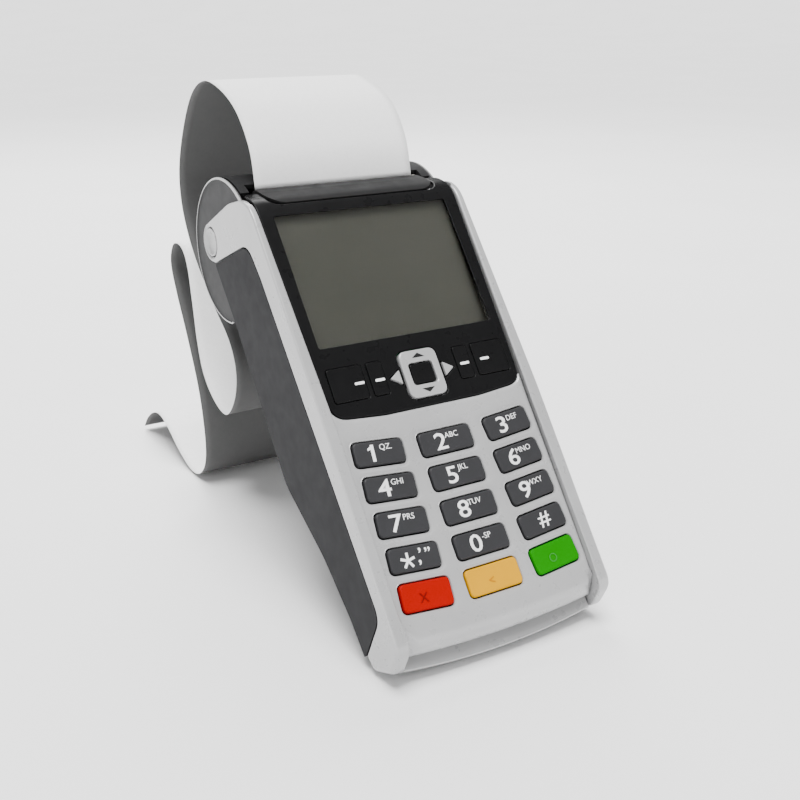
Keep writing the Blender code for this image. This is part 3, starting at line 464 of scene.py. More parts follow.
# colour, roughness, other settings, strength of the grain and how much the colour varies
PLASTICS = {
    "silver_plastic": ((0.400, 0.400, 0.403), 0.30, SILVER),
    # the keypad panel is the arms' silver, drawn a touch lighter: painted light on its face
    "panel_silver": ((0.410, 0.410, 0.413), 0.30, SILVER),
    "dark_plastic": ((0.024, 0.024, 0.0255), 0.62, FAINT, 0.2),
    "cover_plastic": ((0.052, 0.052, 0.053), 0.55, FAINT),
    "drum_plastic": ((0.018, 0.018, 0.0185), 0.5, FAINT),
    # the cheeks' rim is the cover's own dark plastic, drawn light grey: a painted highlight on its rounded
    # edge
    "rim_painted_highlight": ((0.38, 0.38, 0.38), 0.3, {"Coat_Weight": 0.2}),
    "black_plastic": ((0.0065, 0.0065, 0.0068), 0.3, {"IOR": 1.25, **MATT}, 0.05),
    "tear_plastic": ((0.015, 0.015, 0.0153), 0.5, FAINT),
    "key_grey": ((0.031, 0.031, 0.033), 0.42, {"IOR": 1.3, **MATT}),
    "key_red": ((0.33, 0.0006, 0.0003), 0.45, SATIN),
    "key_yellow": ((0.60, 0.29, 0.0), 0.45, SATIN),
    "key_green": ((0.0003, 0.19, 0.0002), 0.45, SATIN),
    "mark_red": ((0.13, 0.0005, 0.0003), 0.5, {"IOR": 1.25}),
    "mark_yellow": ((0.45, 0.17, 0.0), 0.5, {"IOR": 1.25}),
    "mark_green": ((0.02, 0.22, 0.02), 0.5, {"IOR": 1.25}),
    "print_white": ((0.90, 0.90, 0.90), 0.45, {}),
    "print_black": ((0.008, 0.008, 0.008), 0.45, MATT),
    "gear_nylon": ((0.62, 0.61, 0.56), 0.48, {}),
    "platen_rubber": ((0.02, 0.02, 0.022), 0.75, {}, 0.5),
    "silicone_rubber": ((0.20, 0.20, 0.21), 0.65, {}, 0.3),
    "battery_wrap": ((0.035, 0.035, 0.04), 0.5, {}, 0.3),
    "core_card": ((0.36, 0.27, 0.17), 0.85, {}, 0.6, 0.12),
}
LOOKS = {name: moulded(name, *terms) for name, terms in PLASTICS.items()}
LOOKS |= {
    "steel": brushed("steel", (0.50, 0.50, 0.51), 0.30),
    "gold_contact": brushed("gold_contact", (0.83, 0.56, 0.18), 0.24),
    "circuit_board": board("circuit_board"),
    "thermal_paper": paper("thermal_paper", 0.90),
    # the receipt's reverse is the same white paper, drawn nearly black: painted shade for the insides of its
    # curls
    "paper_reverse_painted_shade": paper("paper_reverse_painted_shade", 0.085),
    "display_glass": clear_window("display_glass"),
    "lcd_grey": display("lcd_grey"),
    "paper_roll": roll_ends("paper_roll"),
}


# ---- pieces ----


# edges that turn by more than this many degrees stay sharp
SHARP_ANGLE = 32.0
SHEET_SHARP_ANGLE = 50.0


def keep_shape(made, angle=SHARP_ANGLE):
    """Smooth shading between sharp edges, with the flat faces kept flat."""
    made.data.shade_smooth()
    made.data.set_sharp_from_angle(angle=math.radians(angle))
    made.modifiers.new("flats", "WEIGHTED_NORMAL").keep_sharp = True


def add_wall(sheet, depth):
    """Gives a sheet its wall behind the drawn face, and smooths it."""
    wall = sheet.modifiers.new("thickness", "SOLIDIFY")
    wall.thickness = depth * MM
    wall.offset = -1.0
    keep_shape(sheet, SHEET_SHARP_ANGLE)


def linked_object(name, bm):
    """An object in the scene that takes over the mesh bm."""
    mesh = bpy.data.meshes.new(name)
    bm.to_mesh(mesh)
    bm.free()
    return in_scene(name, mesh)


def piece(name, bm, look, slot, body, *nodes, place=TERMINAL, smooth=True):
    """One visible piece from a mesh drawn in millimetres, riding on a body and standing for CAD nodes."""
    bmesh.ops.transform(bm, matrix=place, verts=bm.verts)
    made = linked_object(name, bm)
    for one in look if isinstance(look, list) else [look]:
        made.data.materials.append(LOOKS[one])
    if smooth:
        keep_shape(made)
    if body:
        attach(made, body)
    if nodes:
        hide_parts(*nodes)
    return made


def cut(target, shapes):
    """Cuts shapes drawn in the terminal's frame out of a piece, and leaves no modifier or cutter behind."""
    for bm in shapes:
        bmesh.ops.transform(bm, matrix=TERMINAL, verts=bm.verts)
        tool = linked_object("cutter", bm)
        step = target.modifiers.new("cut", "BOOLEAN")
        step.operation = "DIFFERENCE"
        step.solver = "EXACT"
        step.object = tool
        target.modifiers.move(len(target.modifiers) - 1, 0)
        bpy.context.view_layer.update()
        held = target.modifiers.get("flats")
        if held:
            held.show_viewport = False
        graph = bpy.context.evaluated_depsgraph_get()
        done = bpy.data.meshes.new_from_object(target.evaluated_get(graph))
        if held:
            held.show_viewport = True
        target.modifiers.remove(step)
        old = target.data
        done.name = old.name
        target.data = done
        bpy.data.meshes.remove(old)
        bpy.data.objects.remove(tool)
    target.data.shade_smooth()
    target.data.set_sharp_from_angle(angle=math.radians(SHARP_ANGLE))


# ---- the light casing ----

HALF_WIDTH = 38.4
INNER_HALF = 36.9
ARM_INNER = 34.4
ARM_INNER_HIGH = 36.1
END_ARM_INNER = 34.1
# where the arms' inner faces step in at the lower end, and where they begin to part higher up
ARM_STEP_V = -46.0
ARM_STEP_LENGTH = 6.0
ARM_PARTING_V = 8.0
ARM_PARTING_LENGTH = 72.0
ARM_INNER_RIM = 0.7
PANEL_TOP = -0.5
PANEL_WALL = 1.3
RELEASE = (89.0, -36.8)
RELEASE_R = 4.6
EAR_R = 6.35

# (v, w, corner radius, rounding of the outer rim) round the light casing's side
BUTTON_END = [(RELEASE[0] + EAR_R * math.cos(a), RELEASE[1] + EAR_R * math.sin(a), 0.0, 0.6)
              for a in (math.radians(-140 + 16 * k) for k in range(10))]
ARM_CORNERS = [
    (-56.5, 1.5, 6.0, 1.3), (-61.2, -7.0, 5.0, 2.0), (-58.6, -17.8, 3.0, 1.8), (-53.5, -17.8, 0.6, 0.4),
    (-45.7, -3.3, 6.0, 0.25), (22.0, -6.9, 0.0, 0.25), (62.0, -8.8, 0.0, 0.25), (74.9, -10.6, 8.0, 0.3),
    (82.2, -38.2, 0.6, 0.3), *BUTTON_END, (91.6, -15.5, 20.0, 0.7), (85.6, -1.2, 14.0, 0.7),
    (10.0, 1.2, 60.0, 0.55),
]


def arm_inner(v):
    """Half the width between the arms at a place along them."""
    if v < ARM_STEP_V:
        return ARM_INNER + (END_ARM_INNER - ARM_INNER) * smooth_step((ARM_STEP_V - v) / ARM_STEP_LENGTH)
    parted = min(1.0, max(0.0, (v - ARM_PARTING_V) / ARM_PARTING_LENGTH))
    return ARM_INNER + (ARM_INNER_HIGH - ARM_INNER) * parted


def arm_rims(outline):
    """The rim rounding at every point of the arm's outline, from the corners on each side of it."""
    corners = [Vector(c[:2]) for c in ARM_CORNERS]
    rims = []
    for p in outline:
        best = (1e9, 0.0)
        for i, corner in enumerate(corners):
            after = corners[(i + 1) % len(corners)]
            side = after - corner
            t = min(1.0, max(0.0, (p - corner).dot(side) / side.length_squared))
            gap = (corner + side * t - p).length
            first, second = ARM_CORNERS[i][3], ARM_CORNERS[(i + 1) % len(corners)][3]
            best = min(best, (gap, first + (second - first) * smooth_step(t)))
        rims.append(best[1])
    return rims


def make_arm(side, name):
    """One side arm: a rounded outer rim, a small inner one, hollow below, with the release button's hole."""
    outline = divided(fillet([c[:3] for c in ARM_CORNERS], 10), 2.5)
    rims = arm_rims(outline)
    thick = [HALF_WIDTH - arm_inner(p.x) for p in outline]
    inner = [min(ARM_INNER_RIM, t - r - 0.05) if r > 0.5 else 0.25 for t, r in zip(thick, rims)]
    rings = []
    for a in quarter_turn(8):
        ring = inset(outline, [r * (1 - math.sin(a)) for r in rims])
        rings.append([Vector((side * (HALF_WIDTH - r * (1 - math.cos(a))), p.x, p.y))
                      for r, p in zip(rims, ring)])
    for a in quarter_turn(4):
        ring = inset(outline, [i * (1 - math.cos(a)) * 0.8 for i in inner])
        rings.append([Vector((side * (HALF_WIDTH - t + i * (1 - math.sin(a))), p.x, p.y))
                      for t, i, p in zip(thick, inner, ring)])
    arm = piece(name, loft(rings), "silver_plastic", "silver_plastic", "terminal", "upper_casing")
    under = loft([along_w(box_outline(-20, INNER_HALF, -52, 120), w) for w in (-60, -2.8)])
    if side < 0:
        bmesh.ops.scale(under, verts=under.verts, vec=(-1, 1, 1))
        bmesh.ops.reverse_faces(under, faces=under.faces)
    funnel = ((HALF_WIDTH - 30, CLEAR), (0.9, CLEAR), (0.5, 0.45), (0.1, 1.0), (-3, 1.4))
    hole = loft([along_u(circle_outline(*RELEASE, RELEASE_R + wider), side * (HALF_WIDTH - deep))
                 for deep, wider in funnel])
    cut(arm, [under, hole])


# ---- the keypad's layout ----

COLUMNS = (-1, 0, 1)
COLUMN_PITCH = 23.1
KEY_ROWS = ((0.0, ("1", "2", "3")), (-10.7, ("4", "5", "6")), (-21.4, ("7", "8", "9")),
            (-32.1, ("star", "0", "hash")))
KEY_LENGTH = 7.2
KEY_WIDTH = 16.4
MIDDLE_KEY_WIDTH = 18.4
MIDDLE_KEY_DROP = 0.9
KEY_CORNER = 1.6
KEY_TURN = math.radians(5.0)
COMMAND_V = -43.0
COMMAND_LENGTH = 8.1
COMMAND_KEYS = (("cancel", "key_red"), ("correct", "key_yellow"), ("confirm", "key_green"))


def key_rows():
    """Every keypad key: name, column, row position, length and look."""
    keys = [(name, column, v, KEY_LENGTH, "key_grey")
            for v, names in KEY_ROWS for column, name in zip(COLUMNS, names)]
    return keys + [(name, column, COMMAND_V, COMMAND_LENGTH, look)
                   for column, (name, look) in zip(COLUMNS, COMMAND_KEYS)]


def key_ring(column, row_v, length, shrink=0.0):
    """A key's outline, made smaller by an amount, and its centre; the count of points never changes."""
    width = KEY_WIDTH if column else MIDDLE_KEY_WIDTH
    centre = Vector((column * COLUMN_PITCH, row_v - (0.0 if column else MIDDLE_KEY_DROP)))
    turn = Matrix.Rotation(KEY_TURN * column, 2)
    x, y = width / 2 - shrink, length / 2 - shrink
    outline = box_outline(-x, x, -y, y, max(KEY_CORNER - shrink, 0.35), 6)
    return [centre + turn @ p for p in outline], centre


def bezel_low_edge(grow=0.0):
    """The bezel's lower edge with its two round corners, from left to right."""
    half, side_low, middle_low = BEZEL_HALF + grow, BEZEL_SIDE_LOW - grow, BEZEL_MIDDLE_LOW - grow
    corner = BEZEL_CORNER + grow
    edge = fillet([(-half, 40.0, 0), (-half, side_low, corner), (-17.0, middle_low, 30.0),
                   (17.0, middle_low, 30.0), (half, side_low, corner), (half, 40.0, 0)], 10)
    return edge[1:-1]


def make_panel():
    """The keypad panel: sunk a little round each key, and rolled over its lower end to the card slot."""
    roll_back, roll_down = 4.4, 5.4
    turn_length = roll_back * math.pi / 2
    side_gap = 0.25
    middle_end, end_bow = -59.0, 1.6
    end_steps = 16

    def end_v(u):
        return middle_end + end_bow * (u / END_ARM_INNER) ** 2

    under_bezel = [p for p in bezel_low_edge(CLEAR) if p.y < 15.2]
    rows = [under_bezel[0].y] + [14.0 - k * 2.0 for k in range(34)]
    half = END_ARM_INNER - side_gap
    end_us = [x * half / end_steps for x in range(-end_steps, end_steps + 1)]
    bottom = [(u, end_v(u) + roll_back - turn_length) for u in end_us]
    outer = [Vector((arm_inner(v) - side_gap, v)) for v in rows]
    outer += [Vector(p) for p in reversed(bottom)]
    outer += [Vector((side_gap - arm_inner(v), v)) for v in reversed(rows)]
    outer += divided(under_bezel, 1.5)[:-1]
    holes = [key_ring(column, v, length, -CLEAR)[0] for _, column, v, length, _ in key_rows()]

    def place(p, to_key, to_edge):
        start = end_v(p.x) + roll_back
        dish = -0.45 * smooth_step(1 - to_key / 2.2) + 0.2 * math.exp(-(((to_key - 0.3) / 0.2) ** 2))
        dish -= 0.3 * smooth_step(1 - to_key / 0.22)
        rim = -0.35 * smooth_step(1 - to_edge / 0.9) if p.y > -52 else 0.0
        if p.y >= start:
            return Vector((p.x, p.y, PANEL_TOP + dish + rim))
        a = min(math.pi / 2, (start - p.y) / roll_back)
        return Vector((p.x, start - roll_back * math.sin(a), PANEL_TOP - roll_down * (1 - math.cos(a))))

    bm = sheet_mesh(outer, holes, (0.0, 0.12, 0.3, 0.55, 0.9, 1.35), 1.7, place)
    # the panel's lighter copy of the silver is painted light
    panel = piece("keypad_panel", bm, "panel_silver", "silver_plastic", "terminal", "upper_casing",
                  smooth=False)
    add_wall(panel, PANEL_WALL)


def bowed(v_side, v_middle, half, back, steps):
    """An outline with a bowed lower edge and a straight upper one."""
    shares = [2 * k / steps - 1 for k in range(steps + 1)]
    lower = [Vector((half * x, v_middle + (v_side - v_middle) * x**2)) for x in shares]
    return lower + [Vector((half, back)), Vector((-half, back))]


def make_lip():
    """The lower jaw of the card slot."""
    half = END_ARM_INNER - CLEAR
    outline = divided(bowed(-61.1, -63.4, half, -54.4, 28), 3.0)
    bm = rounded_slab(outline, -13.8, -7.6, 1.0, 0.5, along_w, 5)
    piece("card_lip", bm, "silver_plastic", "silver_plastic", "terminal", "card_slot_lip")


# ---- keys ----


def cap_mesh(ring, top, under, rim=0.55, dish=0.10, steps=5):
    """A key cap from ring(shrink): straight sides, a rounded rim and a shallow dished top."""
    rings = [along_w(ring(0.0), under), along_w(ring(0.0), top - rim)]
    for a in quarter_turn(steps)[1:]:
        rings.append(along_w(ring(rim * (1 - math.cos(a))), top - rim * (1 - math.sin(a))))
    for shrink, depth in ((rim + 0.4, 0.12), (rim + 1.0, 0.5), (rim + 1.8, 0.85), (rim + 2.4, 1.0)):
        rings.append(along_w(ring(shrink), top - dish * depth))
    return loft(rings)


LETTERS = {"1": "QZ.", "2": "ABC", "3": "DEF", "4": "GHI", "5": "JKL", "6": "MNO", "7": "PRS", "8": "TUV",
           "9": "WXY", "0": "-SP"}
COMMAND_MARKS = {"cancel": ("X", "mark_red"), "correct": ("<", "mark_yellow"), "confirm": ("O", "mark_green")}
STAR_SPOKE = ((0.0, -0.34), (2.35, -0.40), (2.35, 0.40), (0.0, 0.34))
STAR_MIDDLE = Vector((-2.4, -0.5))
STAR_SPOKES = 5
SPOKE_LIFT = 0.001
# the stroke at the head of the digit 1
FLAG = ((-2.1, 2.55), (-3.7, 1.5), (-3.7, 0.8), (-2.1, 1.4))


def flat_mark(outline, lift=0.0):
    """A thin plate let into a key's top."""
    return rounded_slab(outline, -0.13, 0.008 + lift, 0.01, 0.01, along_w, 1)


def star_spokes():
    """The outlines of the star's spokes, measured from the key's middle."""
    for k in range(STAR_SPOKES):
        spoke = Matrix.Rotation(math.radians(90 + 360 / STAR_SPOKES * k), 2)
        yield [spoke @ Vector(p) + STAR_MIDDLE for p in STAR_SPOKE]


def make_keys():
    """The fifteen keypad keys with their legends."""
    for name, column, v, length, look in key_rows():
        centre = key_ring(column, v, length)[1]
        cap = cap_mesh(lambda shrink: key_ring(column, v, length, shrink)[0], 0.0, -2.9)
        turn = KEY_TURN * column
        spin = Matrix.Rotation(turn, 2)

        def add(text, size, du, dv, weight, wide=1.0):
            at = centre + spin @ Vector((du, dv))
            add_mesh(cap, lettering(text, size, (at.x, at.y, -0.06), turn, weight, 0.14, wide), 1)

        def add_mark(outline, lift=0.0):
            add_mesh(cap, flat_mark([centre + spin @ Vector(p) for p in outline], lift), 1)

        ink = "print_white"
        if name in COMMAND_MARKS:
            mark, ink = COMMAND_MARKS[name]
            add(mark, 3.9, -1.2, -0.6, 0.0)
        elif name == "star":
            for k, spoke in enumerate(star_spokes()):
                add_mark(spoke, SPOKE_LIFT * k)
            add(",", 5.6, 1.3, -1.6, 0.07)
            add("\u2019", 5.6, 1.9, 1.9, 0.05)
            add("\u201d", 5.0, 4.4, 1.8, 0.04)
        elif name == "hash":
            add("#", 6.4, 0.6, 0.1, 0.04, 1.15)
        else:
            add(name, 7.3, -2.2, 0.0, 0.07, 1.22)
            if name == "1":
                add_mark(FLAG)
            add(LETTERS[name], 2.5, 2.2 if column else 2.0, 1.45, -0.01)
        piece(f"cap_{name}", cap, [look, ink], look, f"key_{name}", f"key_{name}")


# ---- display, function keys and navigation ----

BEZEL_HALF = 34.1
BEZEL_HALF_HIGH = 35.8
BEZEL_SIDE_LOW = 12.4
BEZEL_MIDDLE_LOW = 10.9
BEZEL_CORNER = 6.0
BEZEL_WALL = 1.2
WINDOW = (-31.0, 31.0, 34.4, 79.1)
BEZEL_PROFILE = [(8.0, -0.6), (24.0, -0.6), (38.0, -0.78), (60.0, -1.36), (79.5, -1.87), (82.0, -2.15),
                 (84.3, -2.85), (86.4, -4.1), (88.3, -5.9), (89.6, -7.3), (90.6, -8.4)]
TEAR_HALF = 30.4
TEAR_CORNER = 6.0
# each function key's place and half width along u, and the middle of its white bar
SOFT_KEYS = ((-25.7, 5.8), (-15.5, 2.5), (15.5, 2.5), (25.7, 5.8))
SOFT_BARS = ((-21.9, 21.8), (-14.9, 21.6), (15.8, 21.7), (23.5, 22.0))
SOFT_BAR_HALF = (1.65, 0.42)
SOFT_V = 22.2
SOFT_HALF_LENGTH = 5.3
NAV_V = 21.2


def follow(profile, s):
    """The point and the outward normal at a length s along a profile of (v, w) points, s starting as v."""
    left = s - profile[0][0]
    for a, b in zip(profile, profile[1:]):
        step = Vector((b[0] - a[0], b[1] - a[1]))
        if left <= step.length or b is profile[-1]:
            spot = Vector(a) + step.normalized() * left
            return spot, Vector((-step.y, step.x)).normalized()
        left -= step.length


def oblong(u, v, half_u, half_v, corner, steps, shrink=0.0):
    """A rounded oblong round a place, made smaller by an amount."""
    x, y = half_u - shrink, half_v - shrink
    return box_outline(u - x, u + x, v - y, v + y, max(corner - shrink, 0.2), steps)


def soft_ring(u, half, shrink=0.0):
    return oblong(u, SOFT_V, half, SOFT_HALF_LENGTH, 0.9, 5, shrink)


def nav_ring(shrink=0.0):
    return oblong(0.0, NAV_V, 6.6, 7.6, 2.6, 7, shrink)


def nav_window(shrink=0.0):
    return oblong(0.0, NAV_V, 4.3, 3.6, 1.3, 7, shrink)


def arrow_ring(side, shrink=0.0):
    grow = -shrink
    tip, root, half = 11.4 + grow * 1.6, 7.8 - grow, 2.3 + grow * 1.6
    corners = [(tip, NAV_V, 0.3), (root, NAV_V + half, 0.2), (root, NAV_V - half, 0.2)]
    return fillet([(side * u, v, radius) for u, v, radius in corners], 3)


def make_bezel():
    """The black frame round the display: one skin, rolled down at its upper end, notched for the tear bar."""
    top, wide, notch, notch_v = 92.6, BEZEL_HALF_HIGH, TEAR_HALF + 0.35, 83.4
    straight_v = 80.0
    high = fillet([
        (wide, 60.0, 0), (wide, top, 2.4), (notch, top, 0.6), (notch, notch_v, TEAR_CORNER),
        (-notch, notch_v, TEAR_CORNER), (-notch, top, 0.6), (-wide, top, 2.4), (-wide, 60.0, 0),
    ], 8)[1:-1]
    high = [p for p in high if p.y > straight_v]
    outline = bezel_low_edge() + [Vector((wide, straight_v))] + high + [Vector((-wide, straight_v))]
    outer = divided(outline, 2.2)
    holes = [divided(box_outline(*WINDOW, 1.0), 2.5), nav_ring(-0.5)]
    holes += [soft_ring(u, half, -0.15) for u, half in SOFT_KEYS]
    holes += [arrow_ring(side, -0.35) for side in (-1, 1)]

    def place(p, to_hole, to_edge):
        spot, normal = follow(BEZEL_PROFILE, p.y)
        edge = min(to_hole * 1.6, to_edge)
        spot = spot - normal * 0.45 * (1 - quarter_round(edge / 0.5))
        return Vector((p.x, spot.x, spot.y))

    bm = sheet_mesh(outer, holes, (0.0, 0.05, 0.13, 0.26, 0.45), 2.4, place)
    bezel = piece("bezel_frame", bm, "black_plastic", "black_plastic", "terminal", "display_bezel",
                  smooth=False)
    add_wall(bezel, BEZEL_WALL)


def make_soft_keys():
    """The function keys, each with its white bar."""
    for number, ((u, half), bar_at) in enumerate(zip(SOFT_KEYS, SOFT_BARS), 1):
        cap = cap_mesh(lambda shrink: soft_ring(u, half, min(shrink, half - 0.3)), -0.4, -3.0, 0.25, 0.08)
        bar = oblong(*bar_at, *SOFT_BAR_HALF, 0.35, 4)
        add_mesh(cap, rounded_slab(bar, -0.62, -0.40, 0.02, 0.05, along_w, 2), 1)
        node = f"function_key_{number}"
        piece(f"soft_key_{number}", cap, ["black_plastic", "print_white"], "black_plastic", node, node)


def make_navigation():
    """The navigation ring with its two marks, the button in it and the two arrows beside it."""
    top, under, rim = 0.1, -2.9, 0.5
    rounds = [(rim * (1 - math.cos(a)), top - rim * (1 - math.sin(a))) for a in quarter_turn(5)]
    rings = [along_w(nav_ring(), under)]
    rings += [along_w(nav_ring(in_by), w) for in_by, w in rounds]
    rings += [along_w(nav_window(-in_by), w) for in_by, w in rounds[::-1]]
    rings.append(along_w(nav_window(), under))
    ring = loft(rings, caps=False)
    first, last = ring.verts[:len(rings[0])], ring.verts[-len(rings[0]):]
    for i in range(len(first)):
        j = (i + 1) % len(first)
        ring.faces.new((first[i], last[i], last[j], first[j]))
    bmesh.ops.recalc_face_normals(ring, faces=ring.faces)
    for way in (-1, 1):
        root, tip = NAV_V + way * 5.0, NAV_V + way * 6.5
        mark = fillet([(-2.3, root, 0.03), (0.0, tip, 0.12), (2.3, root, 0.03)], 3)
        add_mesh(ring, rounded_slab(mark, top - 0.2, top + 0.02, 0.01, 0.01, along_w, 1), 1)
    piece("nav_frame", ring, ["silver_plastic", "print_black"], "silver_plastic", "nav_ring", "nav_ring")

    def centre_ring(shrink):
        return nav_window(0.4 + min(shrink, 2.8))

    piece("nav_button", cap_mesh(centre_ring, -0.2, under, 0.4, 0.15), "black_plastic", "black_plastic",
          "nav_centre", "nav_centre")
    for side, name in ((-1, "nav_left"), (1, "nav_right")):
        rings = [along_w(arrow_ring(side), under), along_w(arrow_ring(side), top - 0.5)]
        rings += [along_w(arrow_ring(side, 0.12), top - 0.3), along_w(arrow_ring(side, 0.4), top - 0.2)]
        piece(f"{name}_arrow", loft(rings), "silver_plastic", "silver_plastic", name, name)


# ---- tear bar, drum and release buttons ----

DRUM = (83.3, -32.9)
DRUM_R = 24.0
MOUTH_DEG = 58.0
SHOULDER_DEG = 68.0
SHOULDER_FROM = 32.1
PLATEN = (91.5, -15.6)
ROLL = (80.0, -35.0)
DRUM_HALF = 36.6
DRUM_WALL = 1.6
DRUM_END_DEG = -146.0
DRUM_STEPS = 96
CHEEK_WALL = 1.1
# (distance from the middle along u, radius) along the bosses inside each cheek
ROLL_BOSS = ((29.4, 4.0), (29.8, 4.4), (35.4, 4.4))
PLATEN_BOSS = ((32.2, 2.3), (32.5, 2.6), (35.4, 2.6))
TEAR_PROFILE = [(83.7, -2.5), (85.2, -3.0), (86.6, -3.9), (88.3, -5.4), (90.2, -7.2), (91.8, -9.0),
                (93.3, -10.9)]
TOOTH_TIP = (93.3, -10.9)
TOOTH_ROOT = (92.8, -10.2)
TOOTH_PITCH = 1.0
HINGE = (60.5, -41.5)


def make_tear_bar():
    """The tear bar, round at its two lower corners, with fine teeth along its free edge."""
    low = TEAR_PROFILE[0][0]
    places = [low + 0.75 * i for i in range(13)]
    rings = []
    for k in range(int(2 * TEAR_HALF / (TOOTH_PITCH / 2)) + 1):
        u = -TEAR_HALF + k * TOOTH_PITCH / 2
        into = max(0.0, abs(u) - (TEAR_HALF - TEAR_CORNER))
        start = low + TEAR_CORNER - math.sqrt(max(0.0, TEAR_CORNER**2 - into**2))
        ring = [Vector((u, *follow(TEAR_PROFILE, max(v, start))[0])) for v in places]
        tip = Vector((u, *(TOOTH_TIP if k % 2 else TOOTH_ROOT)))
        last = ring[-1] + Vector((0, -1.4, -0.7))
        under = [p + Vector((0, -0.5, -1.5)) for p in ring[:-2]]
        rings.append(ring[:-1] + [tip, tip + Vector((0, -1.4, -0.5)), last] + under[::-1])
    bm = loft(rings)
    bmesh.ops.remove_doubles(bm, verts=bm.verts, dist=0.0005)
    piece("tear_edge", bm, "tear_plastic", "cover_plastic", "terminal", "tear_bar")


def drum_arc(radius, start, end, steps):
    """Points round the drum's axis between two directions in degrees."""
    turns = [math.radians(start + (end - start) * k / steps) for k in range(steps + 1)]
    return [Vector((DRUM[0] + radius * math.cos(a), DRUM[1] + radius * math.sin(a))) for a in turns]


def drum_shell(start, end, steps):
    """The outline of the drum's wall between two directions."""
    return drum_arc(DRUM_R, start, end, steps) + drum_arc(DRUM_R - DRUM_WALL, end, start, steps)


def make_drum():
    """The paper cover: the drum's wall, its two cheeks with their bosses and a painted highlight on each
    cheek's rim, and the hinge knuckles.
    """
    wall_half = DRUM_HALF - 1.5
    wall = drum_shell(MOUTH_DEG, DRUM_END_DEG, DRUM_STEPS)
    bm = rounded_slab(wall, -wall_half, wall_half, 0.05, 0.05, along_u, 1)
    shoulder = drum_shell(SHOULDER_DEG, MOUTH_DEG, 8)
    for side in (-1, 1):
        low, high = sorted((side * SHOULDER_FROM, side * wall_half))
        add_mesh(bm, rounded_slab(shoulder, low, high, 0.05, 0.05, along_u, 1))
    piece("drum_wall", bm, "drum_plastic", "cover_plastic", "paper_cover", "paper_cover")
    round_part = [(p.x, p.y, 0.0) for p in drum_arc(DRUM_R - 0.05, 80.0, -150.0, 110)]
    cheek = divided(fillet(round_part + [(62.2, -38.0, 2.0), (78.0, -14.0, 4.0)]), 2.0)
    cheek_rings = (0.0, 0.06, 0.16, 0.3, 0.45, 0.7, 0.88, 1.05)
    button_room = circle_outline(*RELEASE, RELEASE_R + 0.8)
    for side, name in ((-1, "left"), (1, "right")):
        face = DRUM_HALF - 0.02

        def place(p, to_hole, to_edge):
            rim = 0.5 * (1 - quarter_round(to_edge / 0.45))
            return Vector((side * (face - rim - 0.4 * smooth_step((to_edge - 0.7) / 0.35)), p.x, p.y))

        bm = sheet_mesh(cheek, [button_room], cheek_rings, 4.0, place, (side, 0, 0))
        # the outer ring of each cheek takes the light grey: a painted highlight along the rounded rim
        for f in bm.faces:
            spot = f.calc_center_median()
            f.material_index = 1 if (Vector(spot[1:]) - Vector(DRUM)).length > DRUM_R - 0.75 else 0
        disc = piece(f"drum_cheek_{name}", bm, ["cover_plastic", "rim_painted_highlight"], "cover_plastic",
                     "paper_cover", "paper_cover", smooth=False)
        add_wall(disc, CHEEK_WALL)
        bosses = turned([(side * u, r) for u, r in ROLL_BOSS], ROLL)
        add_mesh(bosses, turned([(side * u, r) for u, r in PLATEN_BOSS], PLATEN))
        piece(f"drum_bosses_{name}", bosses, "cover_plastic", "cover_plastic", "paper_cover", "paper_cover")
    v, w = HINGE
    knuckle = fillet([(v - 2.3, w - 2.3, 2.2), (64.6, w - 4.7, 0.3), (65.6, w - 2.8, 0.3),
                      (v + 0.5, w + 2.4, 2.0), (v - 2.3, w + 2.3, 2.2)])
    bm = bmesh.new()
    for side in (-1, 1):
        low, high = sorted((side * 12.0, side * 23.6))
        add_mesh(bm, rounded_slab(divided(knuckle, 0.8), low, high, 0.3, 0.3, along_u, 3))
    piece("cover_knuckles", bm, "drum_plastic", "cover_plastic", "paper_cover", "paper_cover")


def make_release_buttons():
    """Round buttons in the ears, each with a raised rim and a dished face."""
    for side, name in ((-1, "left"), (1, "right")):
        face = HALF_WIDTH - 0.02
        profile = [(37.0, RELEASE_R), (face - 0.3, RELEASE_R), (face - 0.08, RELEASE_R - 0.08),
                   (face, RELEASE_R - 0.3), (face - 0.06, RELEASE_R - 0.5), (face - 0.35, RELEASE_R - 0.7),
                   (face - 0.8, RELEASE_R - 1.0), (face - 1.05, RELEASE_R - 1.5), (face - 1.15, 1.6),
                   (face - 1.17, 0.0)]
        bm = turned([(side * u, r) for u, r in profile], RELEASE, 64)
        node = f"release_button_{name}"
        piece(f"release_{name}", bm, "silver_plastic", "silver_plastic", node, node)


# ---- the receipt ----

FLOOR = -57.4
PAPER_WIDTH = 58.0
PAPER_THICKNESS = 0.12
# (back, up) along the receipt from the mouth to its end on the floor
RECEIPT_ROUTE = [
    (66.6, 67.4), (70.0, 80.0), (78.5, 90.3), (91.0, 96.3), (104.5, 98.5), (116.5, 93.0), (127.0, 80.0),
    (133.0, 66.0), (133.0, 53.0), (128.0, 42.0), (119.0, 31.0), (107.0, 20.0), (95.0, 10.5), (90.3, 0.0),
    (92.5, -11.0), (101.0, -19.5), (112.0, -18.0), (121.5, -10.0), (126.5, 3.0), (129.0, 18.0), (131.5, 30.0),
    (137.0, 36.3), (145.0, 36.0), (149.0, 28.0), (145.0, 16.5), (137.0, 2.0), (130.5, -12.0), (126.0, -26.0),
    (124.5, -40.0), (127.5, FLOOR + 7.2), (135.0, FLOOR + 1.2), (145.0, FLOOR + 0.8), (157.0, FLOOR + 4.8),
    (167.5, FLOOR + 10.6), (177.0, FLOOR + 13.2), (186.0, FLOOR + 11.4), (193.0, FLOOR + 7.0),
    (199.0, FLOOR + 0.9),
]


